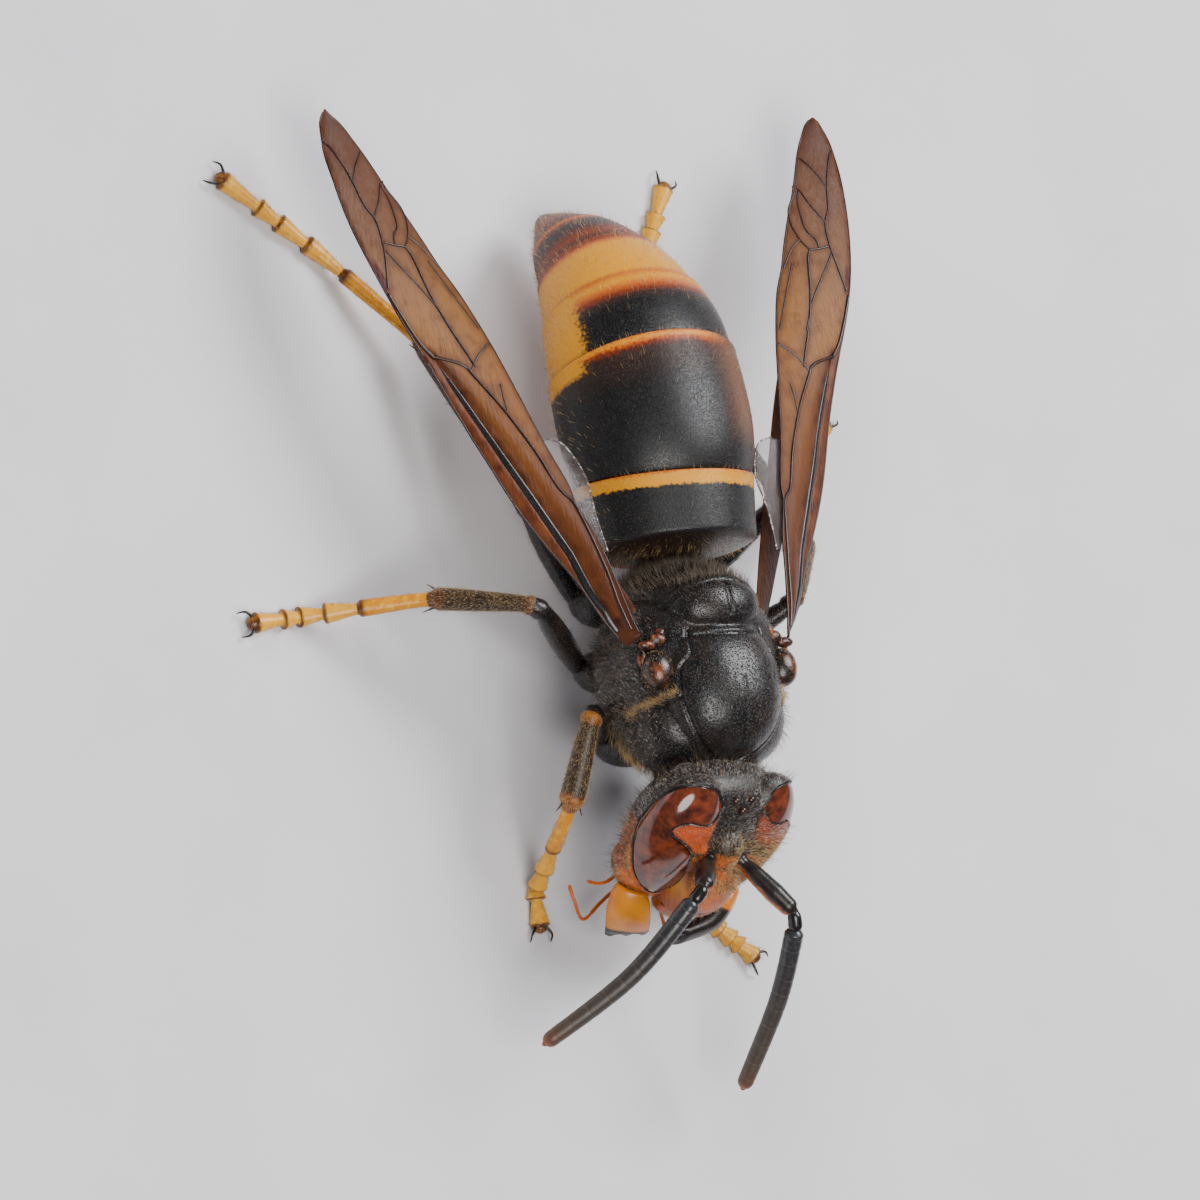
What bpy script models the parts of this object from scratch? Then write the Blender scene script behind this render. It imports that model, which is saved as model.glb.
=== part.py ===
"""Asian hornet worker as a still, life-size model: the solid of each body part.

Metres, +Z up. The hornet stands on z = 0 and faces -Y. Places are given in millimetres from the
middle of its thorax, X towards its left side, and the stance empty carries them all to the floor.
"""
import math

import bmesh
import bpy
from mathutils import Matrix, Vector

MM = 0.001
GAP = 0.3           # clearance between neighbouring body parts, mm
SLIVER = 0.002      # edges shorter than this are closed up, mm
STANCE = 4.5        # height of the middle of the thorax above the floor, mm
MEMBRANE = 0.5      # thickness of a wing, mm

# Head: where its middle is, how far it is lifted, turned and tilted, and its half sizes
HEAD_AT = (-0.26, -4.74, -0.3)
HEAD_LIFT = 39.0
HEAD_TURN = 8.5
HEAD_TILT = 11.0
HEAD_HALF = (2.58, 1.25, 2.12)

# Gaster: one ring behind each segment. Place, half width, half height and droop of the ring.
WAIST = ((0.0, 3.1, -1.1), 0.5, 0.5, 0.0)
SEGMENT_REARS = (
    ((0.0, 5.25, -0.2), 2.72, 2.4, -2.0),
    ((0.0, 8.55, -0.45), 2.92, 2.5, 18.0),
    ((0.0, 10.4, -1.0), 2.55, 2.15, 26.0),
    ((-0.08, 11.8, -1.75), 2.0, 1.7, 34.0),
    ((-0.3, 12.85, -2.45), 1.38, 1.15, 42.0),
    ((-0.65, 13.85, -3.3), 0.3, 0.26, 48.0),
)

SEGMENT_LAP = 0.015             # how much wider a rear rim is, and narrower a front rim
SHOULDER_SHARE = 0.3            # the first segment swells from the waist over this share
SHOULDER_HALF = (2.55, 2.2)     # half width and half height that it swells to, mm
SHOULDER_RISE = 0.9             # how far its middle rises from the waist, mm

# Legs: coxa root, trochanter, knee, end of the tibia, first touch of the tarsus, and foot
LEGS = {
    'front_right': ((-1.0, -2.2, -1.5), (-1.6, -1.7, -2.8), (-3.3, -1.2, -0.45),
                    (-3.77, -3.8, -1.55), (-3.5, -5.7, -4.3), (-3.5, -6.75, -4.3)),
    'front_left': ((1.0, -2.2, -1.5), (1.5, -1.7, -2.9), (3.0, -3.6, -1.5),
                   (2.2, -6.0, -3.0), (2.6, -6.95, -4.3), (3.8, -7.9, -4.3)),
    'middle_right': ((-1.2, 0.0, -1.8), (-2.0, 0.4, -2.7), (-4.92, 1.79, -0.1),
                     (-7.0, 2.5, -2.3), (-10.2, 2.45, -4.3), (-11.8, 2.3, -4.3)),
    'middle_left': ((1.2, 0.0, -1.8), (1.9, 0.4, -2.7), (4.3, 1.8, -0.4),
                    (6.3, 4.0, -2.3), (8.1, 6.7, -4.3), (9.1, 8.0, -4.3)),
    'hind_right': ((-1.1, 1.8, -1.5), (-1.8, 2.4, -2.7), (-3.88, 5.1, -1.62),
                   (-5.45, 10.3, -3.35), (-7.9, 13.1, -4.3), (-10.9, 15.3, -4.3)),
    'hind_left': ((1.1, 1.8, -1.5), (1.8, 2.4, -2.7), (5.09, 5.1, -1.48),
                  (3.2, 10.3, -3.5), (3.5, 13.2, -4.3), (4.5, 15.2, -4.3)),
}
FEMUR_RADIUS = 0.36
TIBIA_RADIUS = 0.3
TARSUS_RADIUS = 0.25
COXA_RADIUS = 0.62
THIGH_SHARES = (0.0, 0.12, 0.3, 0.5, 0.7, 0.84, 0.93, 1.0)      # along a femur, with its swelling
FEMUR_SWELL = (0.63, 0.79, 0.95, 1.0, 0.92, 0.84, 0.79, 0.68)
SHIN_SHARES = (0.0, 0.07, 0.16, 0.35, 0.6, 0.82, 0.93, 1.0)    # along a tibia, with its swelling
TIBIA_SWELL = (0.83, 0.83, 0.87, 0.9, 0.97, 1.03, 1.03, 0.9)
TOE_ENDS = (0.0, 0.4, 0.58, 0.72, 0.82, 1.0)                   # ends of the five tarsus joints
TOE_SWELL = (0.8, 1.06)                                        # at the start and end of each
SPUR_LENGTH = 0.5
SPUR_RADII = (0.12, 0.05)
SPUR_SPREAD = 0.6               # how far the two spurs open, sideways for each mm on
CLAW_SPREAD = 0.3               # how far each claw bends outwards, mm
CLAW_RADII = (0.13, 0.1, 0.04)

# Antennae: end of the scape, middle and tip of the flagellum
ANTENNAE = {
    'right': ((-1.77, -6.8, 1.55), (-3.5, -8.98, -0.13), (-5.54, -10.5, -1.89)),
    'left': ((1.66, -7.5, 0.9), (1.79, -9.78, -0.62), (1.44, -11.98, -2.45)),
}
SOCKET = (0.6, -1.25, -0.15)    # antenna socket of the left side, in the head's own frame
FLAGELLUM_RINGS = 11
FLAGELLUM_RADIUS = 0.29
SCAPE_RADII = (0.25, 0.27, 0.29, 0.2)
OCELLI = ((0.06, -1.0, 1.38), (-0.26, -0.86, 1.63), (0.36, -0.84, 1.65))
OCELLUS_RADIUS = 0.17

# Jaws: the outer and the inner margin of each; and the feeler beside the mouth
MANDIBLES = {
    'right': (((-2.3, 0.0, -1.8), (-2.3, -0.1, -2.6), (-1.8, -0.16, -3.7)),
              ((-1.5, -0.6, -1.8), (-1.15, -0.75, -2.5), (-0.8, -0.75, -3.2))),
    'left': (((2.3, 0.0, -1.8), (1.6, -0.5, -2.95), (0.1, -0.72, -3.8)),
             ((1.5, -0.6, -1.8), (1.0, -0.85, -2.4), (0.3, -0.95, -3.0))),
}
JAW_DEPTH = 0.36                # half thickness at the joint, less the thinning at the teeth
JAW_THINNING = 0.1
JAW_TEETH = ((0.14, 0.2), (0.5, 0.14), (0.82, 0.1))            # place along the edge, length
TOOTH_RADII = (0.22, 0.1)
PALP_RADII = (0.25, 0.22, 0.2, 0.18, 0.12)
PALPS = {
    'right': ((-0.6, 0.8, -2.0), (-1.4, 0.8, -3.3), (-2.2, 0.45, -3.66), (-2.6, 0.73, -3.2),
              (-2.7, 1.1, -2.9)),
    'left': ((0.6, 0.8, -2.0), (0.95, 1.05, -2.9), (0.9, 0.7, -3.5), (1.0, 0.3, -3.9),
             (1.1, 0.05, -4.3)),
}

# Wings of the left side: root, tip, and the middle of the blade where it bows outwards
WING_ROOT = (2.5, 0.5, 1.35)
WING_TIP = (8.5, 16.8, -2.0)
WING_BOW = 0.55
BLADE_FALL = ((0.0, 28.0), (0.38, 14.0), (0.75, -3.0), (1.0, -5.0))     # outer edge down, degrees
FOREWING_HALF = ((0.0, 0.3), (0.12, 0.76), (0.38, 0.93), (0.72, 1.16), (0.87, 1.0), (0.95, 0.62),
                 (1.0, 0.2))
HINDWING_HALF = ((0.0, 0.25), (0.2, 0.5), (0.5, 0.62), (0.8, 0.56), (1.0, 0.22))
HINDWING_REACH = 0.66           # its length against the forewing's
HINDWING_INSET = 0.15           # how far it lies inside and below the forewing, mm
HINDWING_DROP = 0.95
FOREWING_GRID = (9, 21)         # columns and rows of the blade, and those that are veins
FOREWING_VEINS = ((1, 4, 6), (11, 14, 17))
HINDWING_GRID = (6, 12)
HINDWING_VEINS = ((1, 3), (7,))
CAMBER = 0.09                   # how strongly the blade is arched across, 1/mm
VEIN = 0.12                     # how far a vein stands out of the membrane, mm
VEIN_ROOM = 0.8                 # keeps veins low where the columns lie close for the thickness

BLACK = (0.012, 0.010, 0.010)
BROWN = (0.09, 0.035, 0.015)
ORANGE = (0.62, 0.21, 0.03)
YELLOW = (0.85, 0.48, 0.05)
AMBER = (0.36, 0.16, 0.05)
EYE_RED = (0.28, 0.07, 0.02)


def collection(name):
    made = bpy.data.collections.new(name)
    bpy.context.scene.collection.children.link(made)
    return made


def material(name, colour, roughness):
    made = bpy.data.materials.new(name)
    made.use_nodes = True
    shader = made.node_tree.nodes['Principled BSDF']
    shader.inputs['Base Color'].default_value = (*colour, 1.0)
    shader.inputs['Roughness'].default_value = roughness
    shader.inputs['Metallic'].default_value = 0.0
    return made


def guide(mesh):
    """Put a mesh in the guides' collection, as a piece still to be joined or to cut with."""
    made = bpy.data.objects.new('guide', mesh)
    made.hide_render = True
    made.display_type = 'WIRE'
    GUIDES.objects.link(made)
    return made


def mesh_from(bm):
    mesh = bpy.data.meshes.new('solid')
    bm.to_mesh(mesh)
    bm.free()
    return mesh


def bake_modifiers(piece):
    graph = bpy.context.evaluated_depsgraph_get()
    mesh = bpy.data.meshes.new_from_object(piece.evaluated_get(graph))
    piece.modifiers.clear()
    piece.data = mesh


def keep_largest_surface(piece):
    """Keep the connected surface with the most faces, and close up any slivers."""
    bm = bmesh.new()
    bm.from_mesh(piece.data)
    for _ in range(5):
        bmesh.ops.dissolve_degenerate(bm, edges=bm.edges, dist=SLIVER * MM)
        bmesh.ops.triangulate(bm, faces=bm.faces)
        doubled = [edge for edge in bm.edges if len(edge.link_faces) != 2]
        if not doubled:
            break
        bmesh.ops.collapse(bm, edges=doubled)
    groups = []
    unseen = set(bm.faces)
    while unseen:
        group = {unseen.pop()}
        front = list(group)
        while front:
            face = front.pop()
            for edge in face.edges:
                for other in edge.link_faces:
                    if other in unseen:
                        unseen.discard(other)
                        group.add(other)
                        front.append(other)
        groups.append(group)
    largest = max(groups, key=lambda group: sum(face.calc_area() for face in group))
    scraps = [face for face in bm.faces if face not in largest]
    bmesh.ops.delete(bm, geom=scraps, context='FACES')
    bmesh.ops.triangulate(bm, faces=bm.faces)
    bmesh.ops.recalc_face_normals(bm, faces=bm.faces)
    bm.to_mesh(piece.data)
    bm.free()


def join(pieces, operation, solver='EXACT'):
    """Fuse the pieces with the first one, or cut them out of it, and remove the others."""
    base, others = pieces[0], pieces[1:]
    group = bpy.data.collections.new('operands')
    for piece in others:
        group.objects.link(piece)
    boolean = base.modifiers.new('Boolean', 'BOOLEAN')
    boolean.operation = operation
    boolean.operand_type = 'COLLECTION'
    boolean.collection = group
    boolean.solver = solver
    bake_modifiers(base)
    for piece in others:
        bpy.data.objects.remove(piece)
    bpy.data.collections.remove(group)
    keep_largest_surface(base)
    return base


def fuse(pieces):
    return join(pieces, 'UNION')


def cut(piece, *cutters, solver='EXACT'):
    return join([piece, *cutters], 'DIFFERENCE', solver)


def finish(piece, name, look):
    """Name the solid, give it its material and put it with the parts, on the stance."""
    piece.name = name
    piece.data.name = name
    piece.data.materials.clear()
    piece.data.materials.append(look)
    piece.data.shade_smooth()
    piece.data.set_sharp_from_angle(angle=math.radians(40))
    piece.hide_render = False
    piece.display_type = 'SOLID'
    GUIDES.objects.unlink(piece)
    PARTS.objects.link(piece)
    piece.parent = STAND_POINT
    return piece


def lump(middle, half, squareness=1.0, frame=None, sides=20, rings=12):
    """A ball drawn out to three half sizes. A squareness over 1 fills out its corners."""
    bm = bmesh.new()
    bmesh.ops.create_uvsphere(bm, u_segments=sides, v_segments=rings, radius=1.0)
    for vertex in bm.verts:
        for axis in range(3):
            value = vertex.co[axis]
            filled = math.copysign(abs(value) ** (1.0 / squareness), value)
            vertex.co[axis] = (filled * half[axis] + middle[axis]) * MM
        if frame is not None:
            vertex.co = frame @ vertex.co
    return guide(mesh_from(bm))


def tube(points, radii, roundness=2):
    """A tapered tube through the points. The roundness is the curve's bevel resolution."""
    curve = bpy.data.curves.new('tube', 'CURVE')
    curve.dimensions = '3D'
    curve.bevel_depth = MM
    curve.bevel_resolution = roundness
    curve.use_fill_caps = True
    spline = curve.splines.new('POLY')
    spline.points.add(len(points) - 1)
    for control, point, radius in zip(spline.points, points, radii):
        control.co = (*(Vector(point) * MM), 1.0)
        control.radius = radius
    path = bpy.data.objects.new('tube', curve)
    GUIDES.objects.link(path)
    graph = bpy.context.evaluated_depsgraph_get()
    mesh = bpy.data.meshes.new_from_object(path.evaluated_get(graph))
    bpy.data.objects.remove(path)
    bm = bmesh.new()
    bm.from_mesh(mesh)
    bmesh.ops.remove_doubles(bm, verts=bm.verts, dist=0.001 * MM)
    bmesh.ops.triangulate(bm, faces=bm.faces)
    bmesh.ops.recalc_face_normals(bm, faces=bm.faces)
    bm.to_mesh(mesh)
    bm.free()
    return guide(mesh)


def loft(rings):
    """A closed skin over rings of equal count, flat at both ends."""
    bm = bmesh.new()
    rows = [[bm.verts.new(Vector(point) * MM) for point in ring] for ring in rings]
    for row, following in zip(rows, rows[1:]):
        for i in range(len(row)):
            j = (i + 1) % len(row)
            bm.faces.new((row[i], row[j], following[j], following[i]))
    bm.faces.new(reversed(rows[0]))
    bm.faces.new(rows[-1])
    bmesh.ops.triangulate(bm, faces=bm.faces)
    bmesh.ops.recalc_face_normals(bm, faces=bm.faces)
    return guide(mesh_from(bm))


def blend(pairs, share):
    """Read a smooth value at a share of the way along (share, value) pairs."""
    for (start, low), (end, high) in zip(pairs, pairs[1:]):
        if share <= end:
            step = (share - start) / (end - start)
            step = step * step * (3.0 - 2.0 * step)
            return low + (high - low) * step
    return pairs[-1][1]


def through(points, share):
    """A point a share of the way along a smooth curve through evenly timed points."""
    spans = len(points) - 1
    place = min(share * spans, spans - 1e-9)
    index = int(place)
    step = place - index
    before = Vector(points[max(index - 1, 0)])
    start = Vector(points[index])
    end = Vector(points[index + 1])
    after = Vector(points[min(index + 2, spans)])
    leave = (end - before) / 2.0
    arrive = (after - start) / 2.0
    return ((2 * step**3 - 3 * step**2 + 1) * start + (step**3 - 2 * step**2 + step) * leave
            + (3 * step**2 - 2 * step**3) * end + (step**3 - step**2) * arrive)


# Thorax

def thorax_blocks(grow=0.0):
    """Plates of the thorax and its shoulder scales, each grown by a clearance if asked."""
    plates = (
        ((0.0, -0.3, -0.25), (2.72, 2.6, 2.2), 1.22, 20, 14),       # mesopleura
        ((0.0, -1.62, 0.1), (2.52, 1.75, 1.62), 1.2, 22, 12),       # pronotum
        ((0.0, -0.95, 0.6), (2.05, 2.2, 1.9), 1.16, 22, 14),        # scutum
        ((0.0, 1.33, 1.3), (1.5, 0.95, 1.02), 1.08, 18, 10),        # scutellum
        ((0.0, 1.72, 0.75), (1.72, 0.65, 0.78), 1.05, 16, 8),       # metanotum
        ((0.0, 1.4, -0.35), (2.05, 1.58, 1.85), 1.08, 18, 12),      # propodeum
        ((0.0, -2.9, -1.0), (0.95, 0.95, 0.95), 1.0, 14, 8),        # neck
        ((-2.28, -0.35, 1.42), (0.62, 0.78, 0.36), 1.0, 12, 6),     # right tegula
        ((2.28, -0.35, 1.42), (0.62, 0.78, 0.36), 1.0, 12, 6),      # left tegula
    )
    blocks = []
    for middle, half, squareness, sides, rings in plates:
        grown = [size + grow for size in half]
        blocks.append(lump(middle, grown, squareness, None, sides, rings))
    return fuse(blocks)


# Head, in its own frame: X to its left, face towards -Y

def head_frame():
    place = Matrix.Translation(Vector(HEAD_AT) * MM)
    turn = Matrix.Rotation(math.radians(HEAD_TURN), 4, 'Z')
    lift = Matrix.Rotation(math.radians(-HEAD_LIFT), 4, 'X')
    tilt = Matrix.Rotation(math.radians(HEAD_TILT), 4, 'Y')
    return place @ turn @ lift @ tilt


def on_head(point):
    return (HEAD @ (Vector(point) * MM)) / MM


def head_blocks(grow=0.0):
    plates = [
        ((0.0, 0.05, 0.05), HEAD_HALF, 1.18, 24, 14),               # skull
        ((0.0, -0.75, -0.2), (1.6, 0.66, 1.0), 1.1, 18, 10),        # face
        ((0.0, -1.05, 0.0), (0.5, 0.52, 0.75), 1.0, 12, 8),         # shield between the antennae
        ((0.0, -0.85, -1.35), (1.3, 0.7, 1.12), 1.15, 16, 10),      # clypeus
        ((0.0, -0.7, -2.1), (1.15, 0.55, 0.5), 1.1, 12, 6),         # labrum
        ((0.0, 0.35, -1.85), (0.95, 0.75, 0.6), 1.0, 12, 6),        # labium
    ]
    for side in (-1, 1):
        plates.append(((side * 1.85, 0.0, -1.25), (0.62, 0.8, 0.72), 1.05, 14, 8))
    blocks = []
    for middle, half, squareness, sides, rings in plates:
        grown = [size + grow for size in half]
        blocks.append(lump(middle, grown, squareness, HEAD, sides, rings))
    return fuse(blocks)


def ocelli():
    half = [OCELLUS_RADIUS] * 3
    return [lump(place, half, 1.0, HEAD, 8, 6) for place in OCELLI]


def eye_blocks(side, grow=0.0):
    """Upper and lower lobe of a kidney-shaped eye, with the notch between on its inner side."""
    lobes = (
        ((side * 1.72, -0.48, 0.98), (0.84, 0.72, 0.86)),
        ((side * 1.88, -0.36, -0.48), (0.74, 0.8, 1.14)),
        ((side * 2.14, -0.34, 0.3), (0.5, 0.7, 1.1)),
    )
    blocks = []
    for middle, half in lobes:
        grown = [size + grow for size in half]
        blocks.append(lump(middle, grown, 1.05, HEAD, 14, 10))
    return fuse(blocks)


def mandible(side_name):
    """A broad jaw between its outer and its inner margin, with blunt teeth along its end."""
    side = -1 if side_name == 'right' else 1
    outer, inner = MANDIBLES[side_name]
    facing = Vector((side * 0.3, -0.9, -0.3))
    rings = []
    for share in (0.0, 0.33, 0.7, 1.0):
        start, end = through(outer, share), through(inner, share)
        half_depth = JAW_DEPTH - JAW_THINNING * share
        ring = []
        for i in range(10):
            angle = 2.0 * math.pi * i / 10
            point = (start + end) / 2.0 + (end - start) / 2.0 * math.cos(angle)
            ring.append(on_head(point + facing * math.sin(angle) * half_depth))
        rings.append(ring)
    blocks = [loft(rings)]
    outer_end, inner_end = Vector(outer[-1]), Vector(inner[-1])
    reach = (outer_end + inner_end - Vector(outer[1]) - Vector(inner[1])).normalized()
    for share, length in JAW_TEETH:
        root = outer_end + (inner_end - outer_end) * share
        ends = [on_head(root - reach * 0.3), on_head(root + reach * length)]
        blocks.append(tube(ends, TOOTH_RADII, 1))
    return fuse(blocks)


def palp(side_name):
    """The jointed feeler beside the mouth."""
    return tube([on_head(point) for point in PALPS[side_name]], PALP_RADII, 1)


# Antennae

def antenna(side_name):
    side = -1 if side_name == 'right' else 1
    socket = on_head((side * SOCKET[0], SOCKET[1], SOCKET[2]))
    elbow, middle, tip = (Vector(point) for point in ANTENNAE[side_name])
    reach = (elbow - socket).normalized()
    scape = tube([socket + (elbow - socket) * share for share in (0.0, 0.3, 0.65, 1.0)],
                 SCAPE_RADII)
    bend = (middle - elbow).normalized()
    start = elbow + reach * 0.16 + bend * 0.42
    points = []
    radii = []
    for ring in range(FLAGELLUM_RINGS):
        taper = 1.0 - 0.18 * (ring / (FLAGELLUM_RINGS - 1)) ** 2
        for share, swell in ((0.0, 0.9), (0.85, 1.03)):
            points.append(through((start, middle, tip), (ring + share) / FLAGELLUM_RINGS))
            radii.append(FLAGELLUM_RADIUS * taper * swell)
    radii[0] = FLAGELLUM_RADIUS * 0.7
    points.append(tip)
    radii.append(FLAGELLUM_RADIUS * 0.5)
    return scape, tube(points, radii)


# Wings

def wing(side, half_widths, reach, inset, drop, grid, vein_lines):
    """A folded blade: a grid laid along the wing's spine, then given its thickness."""
    columns, rows = grid
    veins, cross_veins = vein_lines
    root = Vector(WING_ROOT)
    span = Vector(WING_TIP) - root
    along = span.normalized()
    bm = bmesh.new()
    bmesh.ops.create_grid(bm, x_segments=columns, y_segments=rows, size=1.0)
    for vertex in bm.verts:
        column = round((vertex.co.x + 1.0) / 2.0 * columns)
        row = round((vertex.co.y + 1.0) / 2.0 * rows)
        share = row / rows
        fall = math.radians(blend(BLADE_FALL, share * reach))
        outwards = Vector((math.cos(fall), 0.0, -math.sin(fall)))
        outwards = (outwards - along * outwards.dot(along)).normalized()
        upwards = outwards.cross(along).normalized()
        chord = 1.0 - 2.0 * column / columns
        half = blend(half_widths, share)
        ridge = 0.0
        if column in veins or row in cross_veins and 0 < column < veins[-1]:
            spacing = 2.0 * half / columns
            ridge = min(VEIN, VEIN_ROOM * spacing * spacing / MEMBRANE)
        bow = WING_BOW * math.sin(math.pi * share * reach * 0.9)
        place = (root + span * share * reach + outwards * (chord * half - inset + bow)
                 + upwards * (ridge - drop - CAMBER * (chord * half) ** 2))
        vertex.co = Vector((side * place.x, place.y, place.z)) * MM
    bmesh.ops.triangulate(bm, faces=bm.faces)
    bmesh.ops.recalc_face_normals(bm, faces=bm.faces)
    blade = guide(mesh_from(bm))
    thickness = blade.modifiers.new('Solidify', 'SOLIDIFY')
    thickness.thickness = MEMBRANE * MM
    thickness.offset = 0.0
    bake_modifiers(blade)
    keep_largest_surface(blade)
    return blade


# Gaster

def ring_at(middle, half_width, half_height, droop, sides=24):
    """A slightly flattened round ring across the body, leaning back by its droop."""
    lean = math.radians(droop)
    up = Vector((0.0, math.sin(lean), math.cos(lean)))
    ring = []
    for i in range(sides):
        angle = 2.0 * math.pi * i / sides
        side = Vector((math.cos(angle) * half_width, 0.0, 0.0))
        belly = 0.92 if math.sin(angle) < 0.0 else 1.0
        ring.append(Vector(middle) + side + up * math.sin(angle) * half_height * belly)
    return ring


def gaster_segments():
    """One solid for each segment, its rear rim a little wider than the front of the next."""
    rears = list(SEGMENT_REARS)
    middles = [WAIST[0]] + [rear[0] for rear in rears]
    sizes = [(WAIST[1], WAIST[2], WAIST[3])] + [rear[1:] for rear in rears]
    spans = len(rears)
    segments = []
    for number in range(spans):
        length = (Vector(middles[number + 1]) - Vector(middles[number])).length
        trim = GAP / 2.0 / length
        shares = [trim, 0.3, 0.6, 0.85, 1.0 - trim]
        if number == 0:
            shares = [trim, 0.08, 0.16, 0.3, 0.55, 0.8, 1.0 - trim]
        if number == spans - 1:
            shares = [trim, 0.3, 0.6, 0.85, 1.0]
        rings = []
        for share in shares:
            place = (number + share) / spans
            middle = through(middles, place)
            width, height, droop = through(sizes, place)
            if number == 0:
                front = min(share / SHOULDER_SHARE, 1.0)
                shoulder = math.sqrt(1.0 - (1.0 - front) ** 2)
                widen = (rears[0][1] - SHOULDER_HALF[0]) * share
                heighten = (rears[0][2] - SHOULDER_HALF[1]) * share
                width = WAIST[1] + (SHOULDER_HALF[0] + widen - WAIST[1]) * shoulder
                height = WAIST[2] + (SHOULDER_HALF[1] + heighten - WAIST[2]) * shoulder
                middle.z = WAIST[0][2] + SHOULDER_RISE * shoulder
            overlap = 1.0 - SEGMENT_LAP if share < 0.5 else 1.0 + SEGMENT_LAP
            rings.append(ring_at(middle, width * overlap, height * overlap, droop))
        segments.append(loft(rings))
    return segments


# Legs

def softened(points, bend):
    """Split a route at its joints, each corner shared out between the two lengths it joins."""
    points = [Vector(point) for point in points]
    lengths = [[points[0]]]
    for before, joint, after in zip(points, points[1:], points[2:]):
        enter = joint + (before - joint).normalized() * min(bend, (before - joint).length / 2.2)
        leave = joint + (after - joint).normalized() * min(bend, (after - joint).length / 2.2)
        corner = []
        for step in (0.0, 0.25, 0.5, 0.75, 1.0):
            corner.append((1 - step)**2 * enter + 2 * step * (1 - step) * joint + step**2 * leave)
        lengths[-1].extend(corner[:3])
        lengths.append(corner[2:])
    lengths[-1].append(points[-1])
    return lengths


def resampled(route, shares, start=0.0, end=0.0):
    """Points at shares of the length of a route, once its start and end are trimmed off."""
    reaches = [0.0]
    for before, after in zip(route, route[1:]):
        reaches.append(reaches[-1] + (after - before).length)
    points = []
    for share in shares:
        goal = start + share * (reaches[-1] - start - end)
        index = max(i for i in range(len(route) - 1) if reaches[i] <= goal or i == 0)
        step = (goal - reaches[index]) / (reaches[index + 1] - reaches[index])
        points.append(route[index].lerp(route[index + 1], step))
    return points


def joint_room(before, joint, after, radius):
    """How far a limb stops short of its bend, so that the round ends either side stay clear."""
    entering = Vector(joint) - Vector(before)
    leaving = Vector(after) - Vector(joint)
    return GAP / 2.0 + radius * math.sin(entering.angle(leaving) / 2.0)


def leg(place):
    """Femur with its coxa, tibia with its spurs, and tarsus with its claws."""
    root, trochanter, knee, ankle, touch, foot = LEGS[place]
    upper, lower, tarsus = softened((trochanter, knee, ankle, touch), 0.7)
    knee_room = joint_room(trochanter, knee, ankle, TIBIA_RADIUS)
    ankle_room = joint_room(knee, ankle, touch, TARSUS_RADIUS)

    femur_route = resampled(upper, THIGH_SHARES, 0.0, knee_room)
    thigh = tube(femur_route, [FEMUR_RADIUS * size for size in FEMUR_SWELL])
    hip_middle = [(a + b) / 2.0 for a, b in zip(root, trochanter)]
    hip_length = (Vector(trochanter) - Vector(root)).length / 2.0 + 0.2
    axis = (Vector(trochanter) - Vector(root)).normalized()
    turn = Vector((0.0, 0.0, 1.0)).rotation_difference(axis).to_matrix().to_4x4()
    hip_frame = Matrix.Translation(Vector(hip_middle) * MM) @ turn
    hip = lump((0.0, 0.0, 0.0), (COXA_RADIUS, COXA_RADIUS, hip_length), 1.0, hip_frame, 10, 6)
    femur = fuse([hip, thigh])

    tibia_route = resampled(lower, SHIN_SHARES, knee_room, ankle_room)
    shin = tube(tibia_route, [TIBIA_RADIUS * size for size in TIBIA_SWELL])
    heading = (Vector(ankle) - Vector(knee)).normalized()
    across = heading.cross(Vector((0.0, 0.0, 1.0))).normalized()
    blocks = [shin]
    for turn_side in (-1, 1):
        start = tibia_route[-2] - heading * 0.1 + across * turn_side * 0.2
        spread = (heading + across * turn_side * SPUR_SPREAD).normalized()
        blocks.append(tube([start, start + spread * SPUR_LENGTH], SPUR_RADII, 0))
    tibia = fuse(blocks)

    sole = [*tarsus[:-1], Vector(touch), Vector(foot)]
    marks, sizes = [], []
    for start, end in zip(TOE_ENDS, TOE_ENDS[1:]):
        marks.extend((start, start + (end - start) * 0.8))
        sizes.extend(TOE_SWELL)
    marks.append(1.0)
    sizes.append(0.9)
    toe = tube(resampled(sole, marks, ankle_room), [TARSUS_RADIUS * size for size in sizes])
    heading = (Vector(foot) - Vector(touch)).normalized()
    across = heading.cross(Vector((0.0, 0.0, 1.0))).normalized()
    blocks = [toe]
    for turn_side in (-1, 1):
        base = Vector(foot) - heading * 0.15 + across * turn_side * 0.08
        bend = base + heading * 0.4 + across * turn_side * CLAW_SPREAD
        tip = bend + heading * 0.22 + across * turn_side * 0.02 + Vector((0.0, 0.0, -0.05))
        blocks.append(tube([base, bend, tip], CLAW_RADII, 0))
    claw_foot = level_sole(fuse(blocks))
    return femur, tibia, claw_foot


def level_sole(piece):
    """Cut a foot flat where it stands on the floor."""
    bm = bmesh.new()
    bm.from_mesh(piece.data)
    cut_edges = bmesh.ops.bisect_plane(
        bm, geom=bm.verts[:] + bm.edges[:] + bm.faces[:], dist=0.0001 * MM,
        plane_co=(0.0, 0.0, -STANCE * MM), plane_no=(0.0, 0.0, -1.0), clear_outer=True)['geom_cut']
    rim = [item for item in cut_edges if isinstance(item, bmesh.types.BMEdge)]
    bmesh.ops.holes_fill(bm, edges=rim)
    bmesh.ops.triangulate(bm, faces=bm.faces)
    bm.to_mesh(piece.data)
    bm.free()
    return piece


def settle():
    """Carry the whole hornet to the floor, centred on the origin."""
    corners = [vertex.co for part in PARTS.objects if part.type == 'MESH'
               for vertex in part.data.vertices]
    middle_x = (min(c.x for c in corners) + max(c.x for c in corners)) / 2.0
    middle_y = (min(c.y for c in corners) + max(c.y for c in corners)) / 2.0
    STAND_POINT.location = (-middle_x, -middle_y, STANCE * MM)


for leftover in list(bpy.data.objects):
    bpy.data.objects.remove(leftover)

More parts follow.
